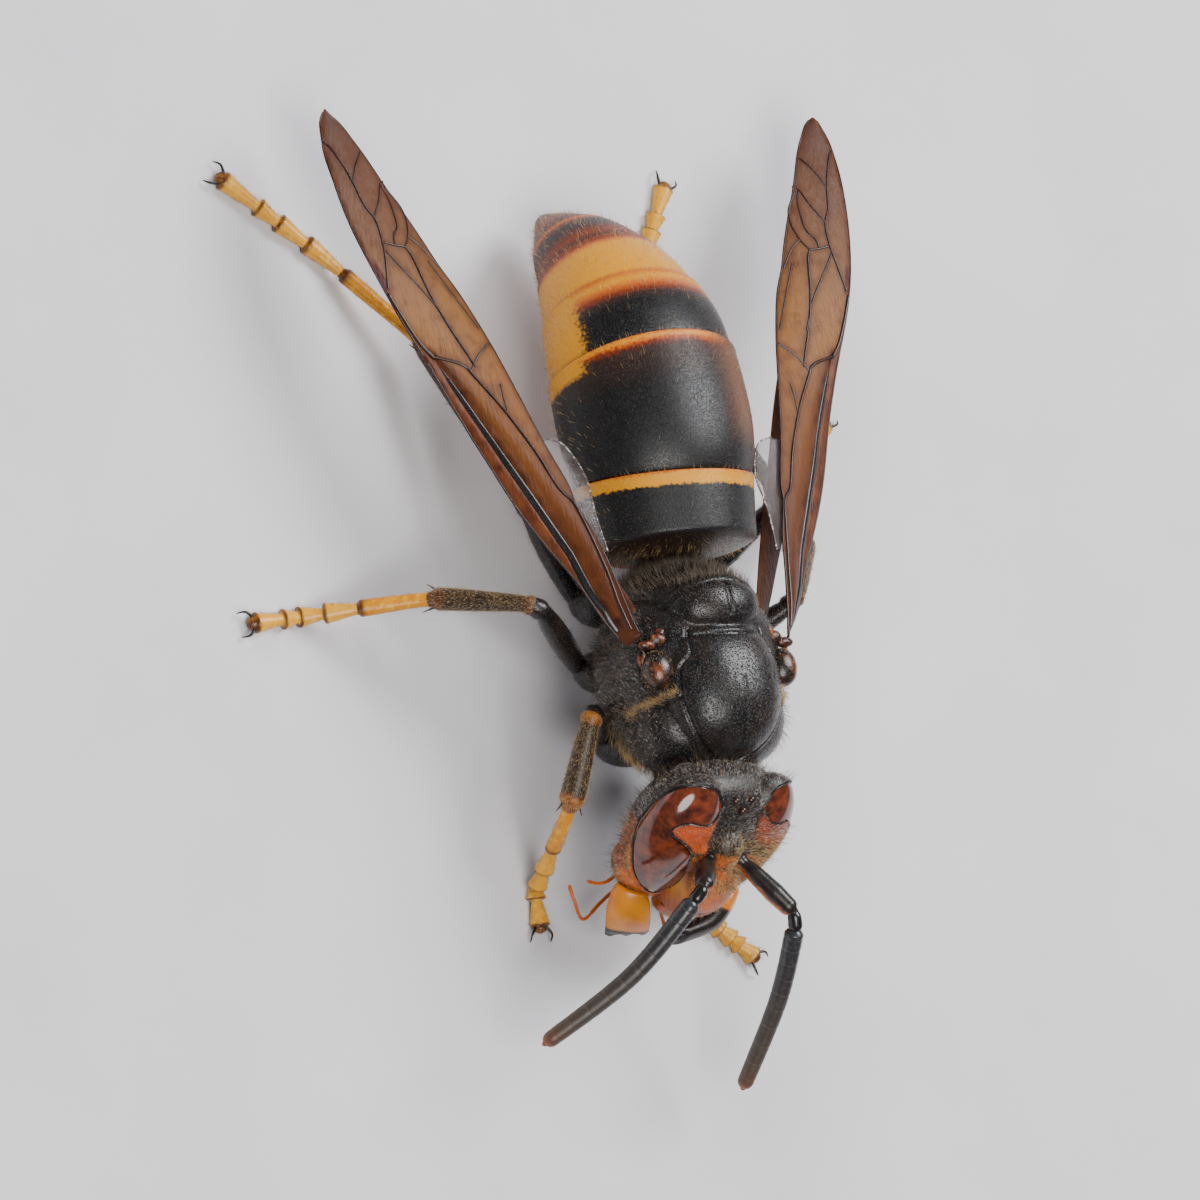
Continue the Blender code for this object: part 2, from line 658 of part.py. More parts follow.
PARTS = collection('asian_hornet')
GUIDES = collection('guides')
STAND_POINT = bpy.data.objects.new('stance', None)
PARTS.objects.link(STAND_POINT)
HEAD = head_frame()

chitin_black = material('black cuticle', BLACK, 0.45)
chitin_brown = material('brown cuticle', BROWN, 0.4)
chitin_orange = material('orange cuticle', ORANGE, 0.4)
chitin_yellow = material('yellow cuticle', YELLOW, 0.4)
wing_amber = material('smoky wing', AMBER, 0.3)
eye_glaze = material('eye', EYE_RED, 0.15)

finish(thorax_blocks(), 'thorax', chitin_black)

face_palps = [palp('right'), palp('left')]
head = fuse([head_blocks(), *ocelli(), *face_palps])
head = cut(head, thorax_blocks(GAP), eye_blocks(-1, GAP), eye_blocks(1, GAP))
finish(head, 'head', chitin_black)

for side_name, side in (('right', -1), ('left', 1)):
    finish(eye_blocks(side), 'eye_' + side_name, eye_glaze)
    jaw = cut(mandible(side_name), head_blocks(GAP))
    finish(jaw, 'mandible_' + side_name, chitin_orange)
    scape, flagellum = antenna(side_name)
    finish(cut(scape, head_blocks(GAP)), 'antenna_scape_' + side_name, chitin_brown)
    finish(flagellum, 'antenna_flagellum_' + side_name, chitin_brown)
    forewing = wing(side, FOREWING_HALF, 1.0, 0.0, 0.0, FOREWING_GRID, FOREWING_VEINS)
    finish(cut(forewing, thorax_blocks(GAP), solver='MANIFOLD'), 'forewing_' + side_name, wing_amber)
    hindwing = wing(side, HINDWING_HALF, HINDWING_REACH, HINDWING_INSET, HINDWING_DROP,
                    HINDWING_GRID, HINDWING_VEINS)
    finish(cut(hindwing, thorax_blocks(GAP), solver='MANIFOLD'), 'hindwing_' + side_name, wing_amber)

segment_looks = (chitin_black, chitin_black, chitin_black, chitin_yellow, chitin_brown,
                 chitin_brown)
for number, (segment, look) in enumerate(zip(gaster_segments(), segment_looks), start=1):
    if number == 1:
        segment = cut(segment, thorax_blocks(GAP))
    finish(segment, 'gaster_%d' % number, look)

for place in LEGS:
    femur, tibia, tarsus = leg(place)
    finish(cut(femur, thorax_blocks(GAP)), 'femur_' + place, chitin_black)
    finish(tibia, 'tibia_' + place, chitin_brown)
    finish(tarsus, 'tarsus_' + place, chitin_yellow)

settle()
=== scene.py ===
"""Dress the solid model of an asian hornet worker with its cuticle, wings, eyes and hairs.

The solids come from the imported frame. Every place below is in millimetres from the middle of the
thorax, X towards the hornet's left side, -Y ahead and +Z up. A piece is shaped there, and settle()
carries it to the frame once it is finished.
"""
import math

import bmesh
import bpy
import numpy as np
from bpy.props import FloatProperty, FloatVectorProperty, PointerProperty
from mathutils import Matrix, Vector
from mathutils.bvhtree import BVHTree


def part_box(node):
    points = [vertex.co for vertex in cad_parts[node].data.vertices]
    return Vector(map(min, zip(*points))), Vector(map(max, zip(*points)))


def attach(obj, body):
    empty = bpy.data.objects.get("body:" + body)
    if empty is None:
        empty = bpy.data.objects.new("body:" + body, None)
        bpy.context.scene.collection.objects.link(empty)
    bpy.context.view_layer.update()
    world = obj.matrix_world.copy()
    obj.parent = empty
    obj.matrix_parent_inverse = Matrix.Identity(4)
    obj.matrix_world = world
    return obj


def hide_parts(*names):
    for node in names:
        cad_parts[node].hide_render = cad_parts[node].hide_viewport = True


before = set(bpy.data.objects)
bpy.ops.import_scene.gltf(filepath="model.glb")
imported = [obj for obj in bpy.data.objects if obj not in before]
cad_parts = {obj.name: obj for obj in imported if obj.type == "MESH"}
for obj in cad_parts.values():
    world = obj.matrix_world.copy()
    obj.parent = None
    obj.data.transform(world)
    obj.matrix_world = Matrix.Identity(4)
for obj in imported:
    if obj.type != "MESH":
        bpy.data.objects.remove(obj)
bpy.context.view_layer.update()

bl_info = {
    "name": "Asian hornet",
    "version": (1, 0, 0),
    "blender": (4, 5, 0),
    "location": "3D View > Sidebar > Hornet",
    "description": "Dresses the solid model of an asian hornet worker, piece by piece",
    "category": "Object",
}

MM = 0.001
STANCE = 4.5            # height of the middle of the thorax above the floor, mm
THORAX_REAR = 2.957     # where the thorax ends behind its middle, mm
LOW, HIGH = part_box("thorax")
ORIGIN = Vector(((LOW[0] + HIGH[0]) / 2.0, HIGH[1] - THORAX_REAR * MM, STANCE * MM))
SIDES = (("right", -1), ("left", 1))

# Head: its middle, and how far it is lifted, turned and tilted, degrees
HEAD_AT = (-0.26, -4.74, -0.3)
HEAD_LIFT = 39.0
HEAD_TURN = 8.5
HEAD_TILT = 11.0

# Gaster: one ring behind each segment. Place, half width, half height and droop of the ring.
WAIST = (0.0, 3.1, -1.1, 0.5, 0.5, 0.0)
SEGMENT_REARS = (
    (0.0, 5.25, -0.2, 2.72, 2.4, -2.0),
    (0.0, 8.55, -0.45, 2.92, 2.5, 18.0),
    (0.0, 10.4, -1.0, 2.55, 2.15, 26.0),
    (-0.08, 11.8, -1.75, 2.0, 1.7, 34.0),
    (-0.3, 12.85, -2.45, 1.38, 1.15, 42.0),
    (-0.65, 13.85, -3.3, 0.3, 0.26, 48.0),
)

# Legs: coxa root, trochanter, knee, end of the tibia, first touch of the tarsus, and foot
LEGS = {
    "front_right": ((-1.0, -2.2, -1.5), (-1.6, -1.7, -2.8), (-3.3, -1.2, -0.45),
                    (-3.77, -3.8, -1.55), (-3.5, -5.7, -4.3), (-3.5, -6.75, -4.3)),
    "front_left": ((1.0, -2.2, -1.5), (1.5, -1.7, -2.9), (3.0, -3.6, -1.5),
                   (2.2, -6.0, -3.0), (2.6, -6.95, -4.3), (3.8, -7.9, -4.3)),
    "middle_right": ((-1.2, 0.0, -1.8), (-2.0, 0.4, -2.7), (-4.92, 1.79, -0.1),
                     (-7.0, 2.5, -2.3), (-10.2, 2.45, -4.3), (-11.8, 2.3, -4.3)),
    "middle_left": ((1.2, 0.0, -1.8), (1.9, 0.4, -2.7), (4.3, 1.8, -0.4),
                    (6.3, 4.0, -2.3), (8.1, 6.7, -4.3), (9.1, 8.0, -4.3)),
    "hind_right": ((-1.1, 1.8, -1.5), (-1.8, 2.4, -2.7), (-3.88, 5.1, -1.62),
                   (-5.45, 10.3, -3.35), (-7.9, 13.1, -4.3), (-10.9, 15.3, -4.3)),
    "hind_left": ((1.1, 1.8, -1.5), (1.8, 2.4, -2.7), (5.09, 5.1, -1.48),
                  (3.2, 10.3, -3.5), (3.5, 13.2, -4.3), (4.5, 15.2, -4.3)),
}

# Antennae: end of the scape, middle and tip of the flagellum; and the socket in the head's frame
ANTENNAE = {
    "right": ((-1.77, -6.8, 1.55), (-3.5, -8.98, -0.13), (-5.54, -10.5, -1.89)),
    "left": ((1.66, -7.5, 0.9), (1.79, -9.78, -0.62), (1.44, -11.98, -2.45)),
}
SOCKET = (0.6, -1.25, -0.15)
FLAGELLUM_RINGS = 11
FLAGELLUM_RADIUS = 0.28

# Jaws: the outer and the inner margin of each; and the feeler beside the mouth
MANDIBLES = {
    "right": (((-2.3, 0.0, -1.8), (-2.3, -0.1, -2.6), (-1.8, -0.16, -3.7)),
              ((-1.5, -0.6, -1.8), (-1.15, -0.75, -2.5), (-0.8, -0.75, -3.2))),
    "left": (((2.3, 0.0, -1.8), (1.6, -0.5, -2.95), (0.1, -0.72, -3.8)),
             ((1.5, -0.6, -1.8), (1.0, -0.85, -2.4), (0.3, -0.95, -3.0))),
}
PALPS = {
    "side": ((-1.5, 0.6, -1.9), (-2.0, 0.45, -2.25), (-2.45, 0.4, -2.3), (-2.9, 0.4, -2.2)),
    "right": ((-0.6, 0.8, -2.0), (-1.4, 0.8, -3.3), (-2.2, 0.45, -3.66), (-2.6, 0.73, -3.2),
              (-2.7, 1.1, -2.9)),
    "left": ((0.6, 0.8, -2.0), (0.95, 1.05, -2.9), (0.9, 0.7, -3.5), (1.0, 0.3, -3.9),
             (1.1, 0.05, -4.3)),
}

# Left forewing: the two ends of its spine, how far it bows outwards, how its outer edge falls in
# degrees, and its half width and its margins in mm from the spine, all by share of its length
WING_ROOT = (2.5, 0.5, 1.35)
WING_TIP = (8.5, 16.8, -2.0)
WING_BOW = 0.55
BLADE_FALL = ((0.0, 28.0), (0.38, 14.0), (0.75, -3.0), (1.0, -5.0))
FOREWING_HALF = ((0.0, 0.3), (0.12, 0.76), (0.38, 0.93), (0.72, 1.16), (0.87, 1.0), (0.95, 0.62),
                 (1.0, 0.2))
FOREWING_OUTER = ((0.0, 0.5), (0.06, 0.62), (0.13, 0.64), (0.2, 0.77), (0.28, 0.88), (0.38, 0.88),
                  (0.48, 0.88), (0.56, 0.93), (0.64, 1.06), (0.73, 1.12), (0.82, 1.04),
                  (0.91, 0.77), (0.955, 0.52), (0.985, 0.24), (1.0, -0.06))
FOREWING_INNER = ((0.0, 0.05), (0.03, -0.02), (0.09, -0.27), (0.17, -0.58), (0.24, -0.68),
                  (0.275, -0.84), (0.36, -0.97), (0.45, -1.15), (0.54, -1.3), (0.63, -1.32),
                  (0.69, -1.18), (0.74, -1.1), (0.79, -0.98), (0.85, -0.8), (0.915, -0.64),
                  (0.955, -0.48), (0.985, -0.3), (1.0, -0.12))
# Left hindwing, on the forewing's spine: half width by share of its length, its length against the
# forewing's, and how far it lies below and inside it
HINDWING_HALF = ((0.0, 0.25), (0.2, 0.5), (0.5, 0.62), (0.8, 0.56), (1.0, 0.22))
HINDWING_REACH = 0.66
HINDWING_DROP = 0.8
HINDWING_INSET = 0.15
MEMBRANE = 0.04         # thickness of a wing's skin
LOBE_DROP = 0.1         # how far the clear lobe lies under the forewing

# Veins of a forewing: radius in mm, then share along and chord against the half width
VEINS = (
    (0.030, ((0.688, 0.84), (0.728, 0.53), (0.759, 0.33), (0.798, 0.2), (0.829, 0.31),
             (0.869, 0.3), (0.899, 0.36), (0.933, 0.61), (0.949, 0.85))),
    (0.022, ((0.872, 0.27), (0.895, -0.14), (0.913, -0.72))),
    (0.022, ((0.804, 0.18), (0.827, -0.28), (0.85, -0.63), (0.853, -0.82))),
    (0.026, ((0.847, -0.65), (0.821, -0.64), (0.778, -0.41), (0.764, -0.13), (0.747, 0.01))),
    (0.028, ((0.757, 0.27), (0.747, 0.01), (0.739, -0.26))),
    (0.024, ((0.739, -0.26), (0.753, -0.54), (0.78, -0.82), (0.808, -0.91), (0.843, -0.76))),
    (0.022, ((0.753, -0.54), (0.734, -0.74), (0.69, -0.98))),
    (0.034, ((0.739, -0.26), (0.717, -0.31), (0.655, -0.23), (0.594, -0.25), (0.541, -0.33),
             (0.514, -0.36))),
    (0.026, ((0.745, 0.37), (0.711, 0.19), (0.642, -0.16), (0.583, -0.31))),
    (0.026, ((0.508, -0.14), (0.528, -0.67), (0.539, -1.2))),
    (0.040, ((0.557, 0.66), (0.524, -0.02), (0.496, -0.18), (0.425, -0.46), (0.345, -0.59),
             (0.277, -0.58), (0.243, -0.76), (0.184, -0.62), (0.105, -0.25), (0.05, 0.16),
             (0.02, 0.5))),
    (0.022, ((0.419, -0.49), (0.447, -0.66), (0.469, -0.81))),
    (0.020, ((0.702, -0.75), (0.656, -0.88), (0.616, -1.0), (0.568, -1.15))),
    (0.045, ((0.677, 0.92), (0.636, 0.88), (0.587, 0.8), (0.558, 0.66))),
)
VEIN_SIZE = 1.25        # thickness of the veins against the radii above
# The folded outer part: the black line of the fold, and the inner edge of the red band beside it
FOLD = ((0.03, 1.25), (0.067, 0.76), (0.171, 0.45), (0.284, 0.43), (0.396, 0.48), (0.508, 0.58),
        (0.558, 0.66), (0.587, 0.8))
BAND = ((0.02, 0.5), (0.05, 0.16), (0.105, -0.25), (0.184, -0.62), (0.277, -0.58), (0.345, -0.5),
        (0.425, -0.3), (0.496, 0.0), (0.557, 0.5))
LOBE_RIM = ((0.149, -0.67), (0.201, -0.99), (0.234, -1.25), (0.267, -1.53), (0.305, -1.64),
            (0.34, -1.56), (0.358, -1.21))


# Curves and places

def spread(values):
    """Numbers as an array, to reckon with all of them at once."""
    return np.asarray(values, dtype=float)


def through(points, shares):
    """Points at shares of the way along a smooth curve through evenly timed points."""
    points = spread(points)
    shares = spread(shares)
    spans = len(points) - 1
    place = np.clip(shares * spans, 0.0, spans - 1e-9)
    index = place.astype(int)
    step = (place - index)[..., None]
    before = points[np.maximum(index - 1, 0)]
    start = points[index]
    end = points[index + 1]
    after = points[np.minimum(index + 2, spans)]
    leave = (end - before) / 2.0
    arrive = (after - start) / 2.0
    return ((2 * step**3 - 3 * step**2 + 1) * start + (step**3 - 2 * step**2 + step) * leave
            + (3 * step**2 - 2 * step**3) * end + (step**3 - step**2) * arrive)


def blend(pairs, shares):
    """Values read from (share, value) pairs, eased between each two."""
    marks, values = (spread(column) for column in zip(*pairs))
    shares = np.clip(spread(shares), marks[0], marks[-1])
    index = np.clip(np.searchsorted(marks, shares, side="right") - 1, 0, len(marks) - 2)
    step = (shares - marks[index]) / (marks[index + 1] - marks[index])
    step = step * step * (3.0 - 2.0 * step)
    return values[index] + (values[index + 1] - values[index]) * step


def flowing(pairs, shares):
    """Values read from (share, value) pairs along a curve with no corner at any pair."""
    line = through(pairs, np.linspace(0.0, 1.0, 400))
    return np.interp(spread(shares), line[:, 0], line[:, 1])


def unit(vectors):
    """Directions of a length of one."""
    vectors = spread(vectors)
    length = np.linalg.norm(vectors, axis=-1, keepdims=True)
    return vectors / np.maximum(length, 1e-12)


def ease(low, high, values):
    """0 below low, 1 above high and a smooth step between."""
    step = np.clip((spread(values) - low) / (high - low), 0.0, 1.0)
    return step * step * (3.0 - 2.0 * step)


def even(points, count):
    """Points set evenly along a route by its length."""
    points = spread(points)
    reach = np.concatenate(([0.0], np.cumsum(np.linalg.norm(np.diff(points, axis=0), axis=1))))
    goals = np.linspace(0.0, reach[-1], count)
    return np.stack([np.interp(goals, reach, points[:, axis]) for axis in range(3)], axis=1)


def apart_from(points, path):
    """Shortest distance of each point from the line through the path's points."""
    nearest = np.full(len(points), 1e9)
    for start, end in zip(spread(path)[:-1], spread(path)[1:]):
        step = end - start
        share = np.clip((points - start) @ step / (step @ step), 0.0, 1.0)
        gap = np.linalg.norm(points - start - share[:, None] * step, axis=1)
        nearest = np.minimum(nearest, gap)
    return nearest


# Shaping with Blender's own tools

def deselect():
    """Leave edit mode and select nothing."""
    if bpy.context.object and bpy.context.object.mode != "OBJECT":
        bpy.ops.object.mode_set(mode="OBJECT")
    bpy.ops.object.select_all(action="DESELECT")


def pick(*pieces):
    """Select some pieces and make the first of them the active one."""
    deselect()
    for piece in pieces:
        piece.select_set(True)
    bpy.context.view_layer.objects.active = pieces[0]


def places(piece):
    """Where the corners of a mesh are, in mm until the piece is settled."""
    values = np.empty(len(piece.data.vertices) * 3)
    piece.data.vertices.foreach_get("co", values)
    return values.reshape(-1, 3)


def normals(piece):
    """Where the corners of a mesh face."""
    values = np.empty(len(piece.data.vertices) * 3)
    piece.data.vertex_normals.foreach_get("vector", values)
    return values.reshape(-1, 3)


def put(piece, points):
    """Move the corners of a mesh to some places."""
    piece.data.vertices.foreach_set("co", np.ascontiguousarray(points, dtype=float).ravel())
    piece.data.update()


def mark(piece, name, values):
    """Keep one number for each corner of the mesh, for its material to read."""
    layer = piece.data.attributes.get(name)
    if layer is None:
        layer = piece.data.attributes.new(name, "FLOAT", "POINT")
    layer.data.foreach_set("value", np.ascontiguousarray(values, dtype=np.float32))


def lay_map(piece, name, u, v):
    """Write a UV map from one pair of values for each corner of the mesh."""
    layer = piece.data.uv_layers.get(name) or piece.data.uv_layers.new(name=name)
    index = np.empty(len(piece.data.loops), dtype=np.int32)
    piece.data.loops.foreach_get("vertex_index", index)
    pairs = np.stack([u[index], v[index]], axis=1)
    layer.data.foreach_set("uv", np.ascontiguousarray(pairs, dtype=np.float32).ravel())


def renamed(piece, name):
    piece.name = name
    piece.data.name = name
    return piece


def sheet(name, columns, rows):
    """A flat grid, with the share of each corner across and along it."""
    deselect()
    bpy.ops.mesh.primitive_grid_add(x_subdivisions=columns, y_subdivisions=rows, size=2.0)
    piece = renamed(bpy.context.object, name)
    flat = places(piece)
    return piece, (flat[:, 0] + 1.0) / 2.0, (flat[:, 1] + 1.0) / 2.0


def close_up(piece):
    """Merge the seam of a wrapped grid, cap its open ends and turn its faces outwards."""
    pick(piece)
    bpy.ops.object.mode_set(mode="EDIT")
    bpy.ops.mesh.select_all(action="SELECT")
    bpy.ops.mesh.remove_doubles(threshold=1e-5)
    bpy.ops.mesh.fill_holes(sides=0)
    bpy.ops.mesh.normals_make_consistent(inside=False)
    bpy.ops.object.mode_set(mode="OBJECT")


def apply_all(piece):
    """Apply the modifiers of a piece."""
    pick(piece)
    for modifier in list(piece.modifiers):
        bpy.ops.object.modifier_apply(modifier=modifier.name)


def joined(name, pieces):
    """Make several pieces one object."""
    pick(*pieces)
    if len(pieces) > 1:
        bpy.ops.object.join()
    return renamed(bpy.context.object, name)


def put_in_order(piece):
    """Sort the faces by their first side, because Blender's sphere shuffles them in each run."""
    mesh = bmesh.new()
    mesh.from_mesh(piece.data)
    total = len(mesh.verts)
    mesh.faces.sort(key=lambda face: face.verts[0].index * total + face.verts[1].index)
    mesh.to_mesh(piece.data)
    mesh.free()


def ball(middle, half, squareness=1.0, turn=None, segments=40, rings=28):
    """A ball drawn out to three half sizes. A squareness over 1 fills out its corners."""
    deselect()
    bpy.ops.mesh.primitive_uv_sphere_add(segments=segments, ring_count=rings, radius=1.0)
    piece = bpy.context.object
    put_in_order(piece)
    flat = places(piece)
    filled = np.sign(flat) * np.abs(flat) ** (1.0 / squareness)
    shaped = filled * spread(half) + spread(middle)
    put(piece, shaped if turn is None else turned(turn, shaped))
    return piece


def turned(turn, points):
    """Places moved and turned by a matrix."""
    matrix = np.array(turn)
    return spread(points) @ matrix[:3, :3].T + matrix[:3, 3]


def fused(name, pieces, voxel, times):
    """Grow the pieces into one skin and soften the creases between them."""
    piece = joined(name, pieces)
    remesh = piece.modifiers.new("Remesh", "REMESH")
    remesh.mode = "VOXEL"
    remesh.voxel_size = voxel
    apply_all(piece)
    smooth = piece.modifiers.new("Smooth", "SMOOTH")
    smooth.factor = 0.5
    smooth.iterations = times
    apply_all(piece)
    return piece


def frames(route, up):
    """Two directions across a route at each of its points, the first as near up as it can be."""
    tangents = unit(np.gradient(route, axis=0))
    side = spread(up) - tangents[0] * (tangents[0] @ spread(up))
    across = [unit(side)]
    for tangent in tangents[1:]:
        moved = across[-1] - tangent * (across[-1] @ tangent)
        across.append(unit(moved))
    across = spread(across)
    return tangents, across, np.cross(tangents, across)


def tube(name, route, radii, sides=16, up=(0.0, 0.0, 1.0)):
    """A limb with rounded ends. Radii hold one size, or one up and one sideways, for each point."""
    route = spread(route)
    radii = spread(radii)
    if radii.ndim == 1:
        radii = np.stack([radii, radii], axis=1)
    tangents, above, beside = frames(route, up)
    turns = np.radians((80.0, 60.0, 40.0, 20.0))
    head = [(0, -math.sin(turn), math.cos(turn)) for turn in turns]
    tail = [(-1, math.sin(turn), math.cos(turn)) for turn in turns[::-1]]
    rows = []
    for index, forward, size in head:
        rows.append((index, forward * radii[0].mean(), size))
    rows += [(index, 0.0, 1.0) for index in range(len(route))]
    for index, forward, size in tail:
        rows.append((len(route) - 1, forward * radii[-1].mean(), size))
    piece, u, v = sheet(name, sides, len(rows) - 1)
    row = np.rint(v * (len(rows) - 1)).astype(int)
    index = np.array([entry[0] for entry in rows])[row]
    forward = spread([entry[1] for entry in rows])[row]
    size = spread([entry[2] for entry in rows])[row]
    angle = 2.0 * np.pi * u
    high = np.cos(angle) * radii[index, 0] * size
    wide = np.sin(angle) * radii[index, 1] * size
    points = (route[index] + tangents[index] * forward[:, None]
              + above[index] * high[:, None] + beside[index] * wide[:, None])
    put(piece, points)
    along = index / (len(route) - 1)
    lay_map(piece, "UVMap", u, along)
    mark(piece, "along", along)
    mark(piece, "around", np.abs(angle - np.pi) / np.pi)
    close_up(piece)
    return piece


def darken(piece, shape):
    """Mark painted shade where a skin is a groove, beside the shaded grooves that it has."""
    mark(piece, "groove", np.maximum(reading(piece, "groove"), shape))


def press(piece, path, depth, width):
    """Sink a line into a skin, and give back how near to it each corner is, up to 1."""
    points = places(piece)
    shape = np.exp(-(apart_from(points, path) / width) ** 2)
    put(piece, points - normals(piece) * (shape * depth)[:, None])
    return shape


def reading(piece, name):
    """One of a mesh's marks, or zeros where it has none of that name."""
    values = np.zeros(len(piece.data.vertices), dtype=np.float32)
    layer = piece.data.attributes.get(name)
    if layer is not None:
        layer.data.foreach_get("value", values)
    return values


def on_skin(piece, points):
    """The nearest places of a skin to some points."""
    graph = bpy.context.evaluated_depsgraph_get()
    tree = BVHTree.FromObject(piece, graph)
    return spread([tree.find_nearest(Vector(point))[0] for point in points])


def settle(piece, look, slot, *nodes):
    """Carry a finished piece to the frame, give it its finish and hide the solids it stands for."""
    piece.data.transform(Matrix.Translation(ORIGIN) @ Matrix.Scale(MM, 4))
    piece.data.update()
    piece.data.materials.clear()
    piece.data.materials.append(look)
    pick(piece)
    bpy.ops.object.shade_smooth()
    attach(piece, "root")
    if nodes:
        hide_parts(*nodes)
    return piece


# Hairs

HAIR_STRAY = 0.18       # how far a hair leaves its way, against its length
HAIR_PATCH = 0.0015     # half the size of a hair on its UV map
# A hair: three corners at its root, three halfway and its tip, with the sides between them
HAIR_QUADS = ((0, 1, 4, 3), (1, 2, 5, 4), (2, 0, 3, 5))
HAIR_THREES = ((3, 4, 6), (4, 5, 6), (5, 3, 6), (0, 2, 1))
HAIR_CORNERS = 7
HAIR_TURNS = (0.0, 2.0943951, 4.1887902)    # where the three corners stand round it, radians


def rooted(draw, skin, count, keep):
    """Places on a skin with their normals, drawn by area and by how likely keep makes each."""
    skin.data.calc_loop_triangles()
    corners = np.empty(len(skin.data.loop_triangles) * 3, dtype=np.int32)
    skin.data.loop_triangles.foreach_get("vertices", corners)
    corners = corners.reshape(-1, 3)
    facing = normals(skin)
    spots = places(skin)[corners]
    area = np.linalg.norm(np.cross(spots[:, 1] - spots[:, 0], spots[:, 2] - spots[:, 0]), axis=1)
    if keep is not None:
        area = area * keep(spots.mean(axis=1), unit(facing[corners].mean(axis=1)))
    chosen = draw.choice(len(corners), size=count, p=area / area.sum())
    weights = draw.dirichlet((1.0, 1.0, 1.0), size=count)
    root = np.einsum("ij,ijk->ik", weights, spots[chosen])
    return root, unit(np.einsum("ij,ijk->ik", weights, facing[corners[chosen]]))


def hair_mesh(name, points, count):
    """One mesh of all the hairs, from the corners of each in turn."""
    starts = np.arange(count)[:, None, None] * HAIR_CORNERS
    loops = np.concatenate([(np.array(HAIR_QUADS) + starts).reshape(count, -1),
                            (np.array(HAIR_THREES) + starts).reshape(count, -1)], axis=1)
    sides = [len(face) for face in (*HAIR_QUADS, *HAIR_THREES)]
    totals = np.tile(np.array(sides), count)
    mesh = bpy.data.meshes.new(name)
    mesh.vertices.add(len(points))
    mesh.vertices.foreach_set("co", points.ravel())
    mesh.loops.add(loops.size)
    mesh.loops.foreach_set("vertex_index", loops.ravel().astype(np.int32))
    mesh.polygons.add(len(totals))
    mesh.polygons.foreach_set("loop_start",
                              np.concatenate(([0], np.cumsum(totals)[:-1])).astype(np.int32))
    mesh.update(calc_edges=True)
    piece = bpy.data.objects.new(name, mesh)
    bpy.context.scene.collection.objects.link(piece)
    return piece


def coat(name, skin, count, length, thickness, lie, stand, seed, keep=None, bend=0.25):
    """Tapered hairs rooted on a skin, in mm.

    They lie along a direction or a field of them, and stand up from the skin by some degrees.
    Keep gives how likely a hair is at places with normals.
    """
    draw = np.random.default_rng(seed)
    count = int(count * bpy.context.scene.hornet_sizes.hair_count)
    root, normal = rooted(draw, skin, count, keep)
    flow = lie(root, normal) if callable(lie) else np.broadcast_to(spread(lie), root.shape)
    flow = unit(flow - normal * np.sum(flow * normal, axis=1, keepdims=True))
    lift = np.radians(np.full(count, stand)) + draw.normal(0.0, 0.12, count)
    long = length(root, normal) if callable(length) else np.full(count, length)
    long = long * draw.uniform(0.6, 1.2, count)
    heading = normal * np.sin(lift)[:, None] + flow * np.cos(lift)[:, None]
    heading = unit(heading + draw.normal(0.0, HAIR_STRAY, (count, 3)))
    middle = root + heading * long[:, None] * 0.5
    ahead = unit(heading + flow * bend + draw.normal(0.0, HAIR_STRAY * 0.5, (count, 3)))
    tip = middle + ahead * long[:, None] * 0.5
    root = root - normal * thickness
    across = unit(np.cross(heading, draw.normal(0.0, 1.0, (count, 3))))
    beside = np.cross(heading, across)
    rows = []
    for centre, size in ((root, 1.0), (middle, 0.75)):
        for turn in HAIR_TURNS:
            spoke = across * math.cos(turn) + beside * math.sin(turn)
            rows.append(centre + spoke * thickness * size / 2.0)
    rows.append(tip)
    piece = hair_mesh(name, np.stack(rows, axis=1).reshape(-1, 3), count)
    mark(piece, "tone", np.repeat(draw.uniform(0.0, 1.0, count), HAIR_CORNERS))
    mark(piece, "up_hair", np.tile(spread((0, 0, 0, 0.5, 0.5, 0.5, 1.0)), count))
    around, along = unwrapped(places(skin), root)
    shift_u = np.tile(spread((-1, 1, 0, -0.6, 0.6, 0, 0)) * HAIR_PATCH, count)
    shift_v = np.tile(spread((-1, -1, -1, 0, 0, 0, 1)) * HAIR_PATCH, count)
    lay_map(piece, "OFBake", np.repeat(around, HAIR_CORNERS) + shift_u,
            np.repeat(along, HAIR_CORNERS) + shift_v)
    return piece


def grow(name, skin, finish, slot, **hairs):
    """Give a skin a coat of hairs and settle it."""
    settle(coat(name, skin, **hairs), kept(finish), slot)


def unwrapped(points, roots):
    """Where roots lie on a skin spread out as a globe is, round its longest way."""
    middle = (points.min(axis=0) + points.max(axis=0)) / 2.0
    shifted = points - middle
    axes = np.linalg.eigh(shifted.T @ shifted)[1]
    local = (roots - middle) @ axes
    around = np.arctan2(local[:, 0], local[:, 1]) / (2.0 * np.pi) + 0.5
    reach = np.abs(shifted @ axes[:, 2]).max()
    along = np.clip(local[:, 2] / reach / 2.0 + 0.5, 0.0, 1.0)
    return 0.01 + 0.98 * around, 0.01 + 0.98 * along


# Finishes

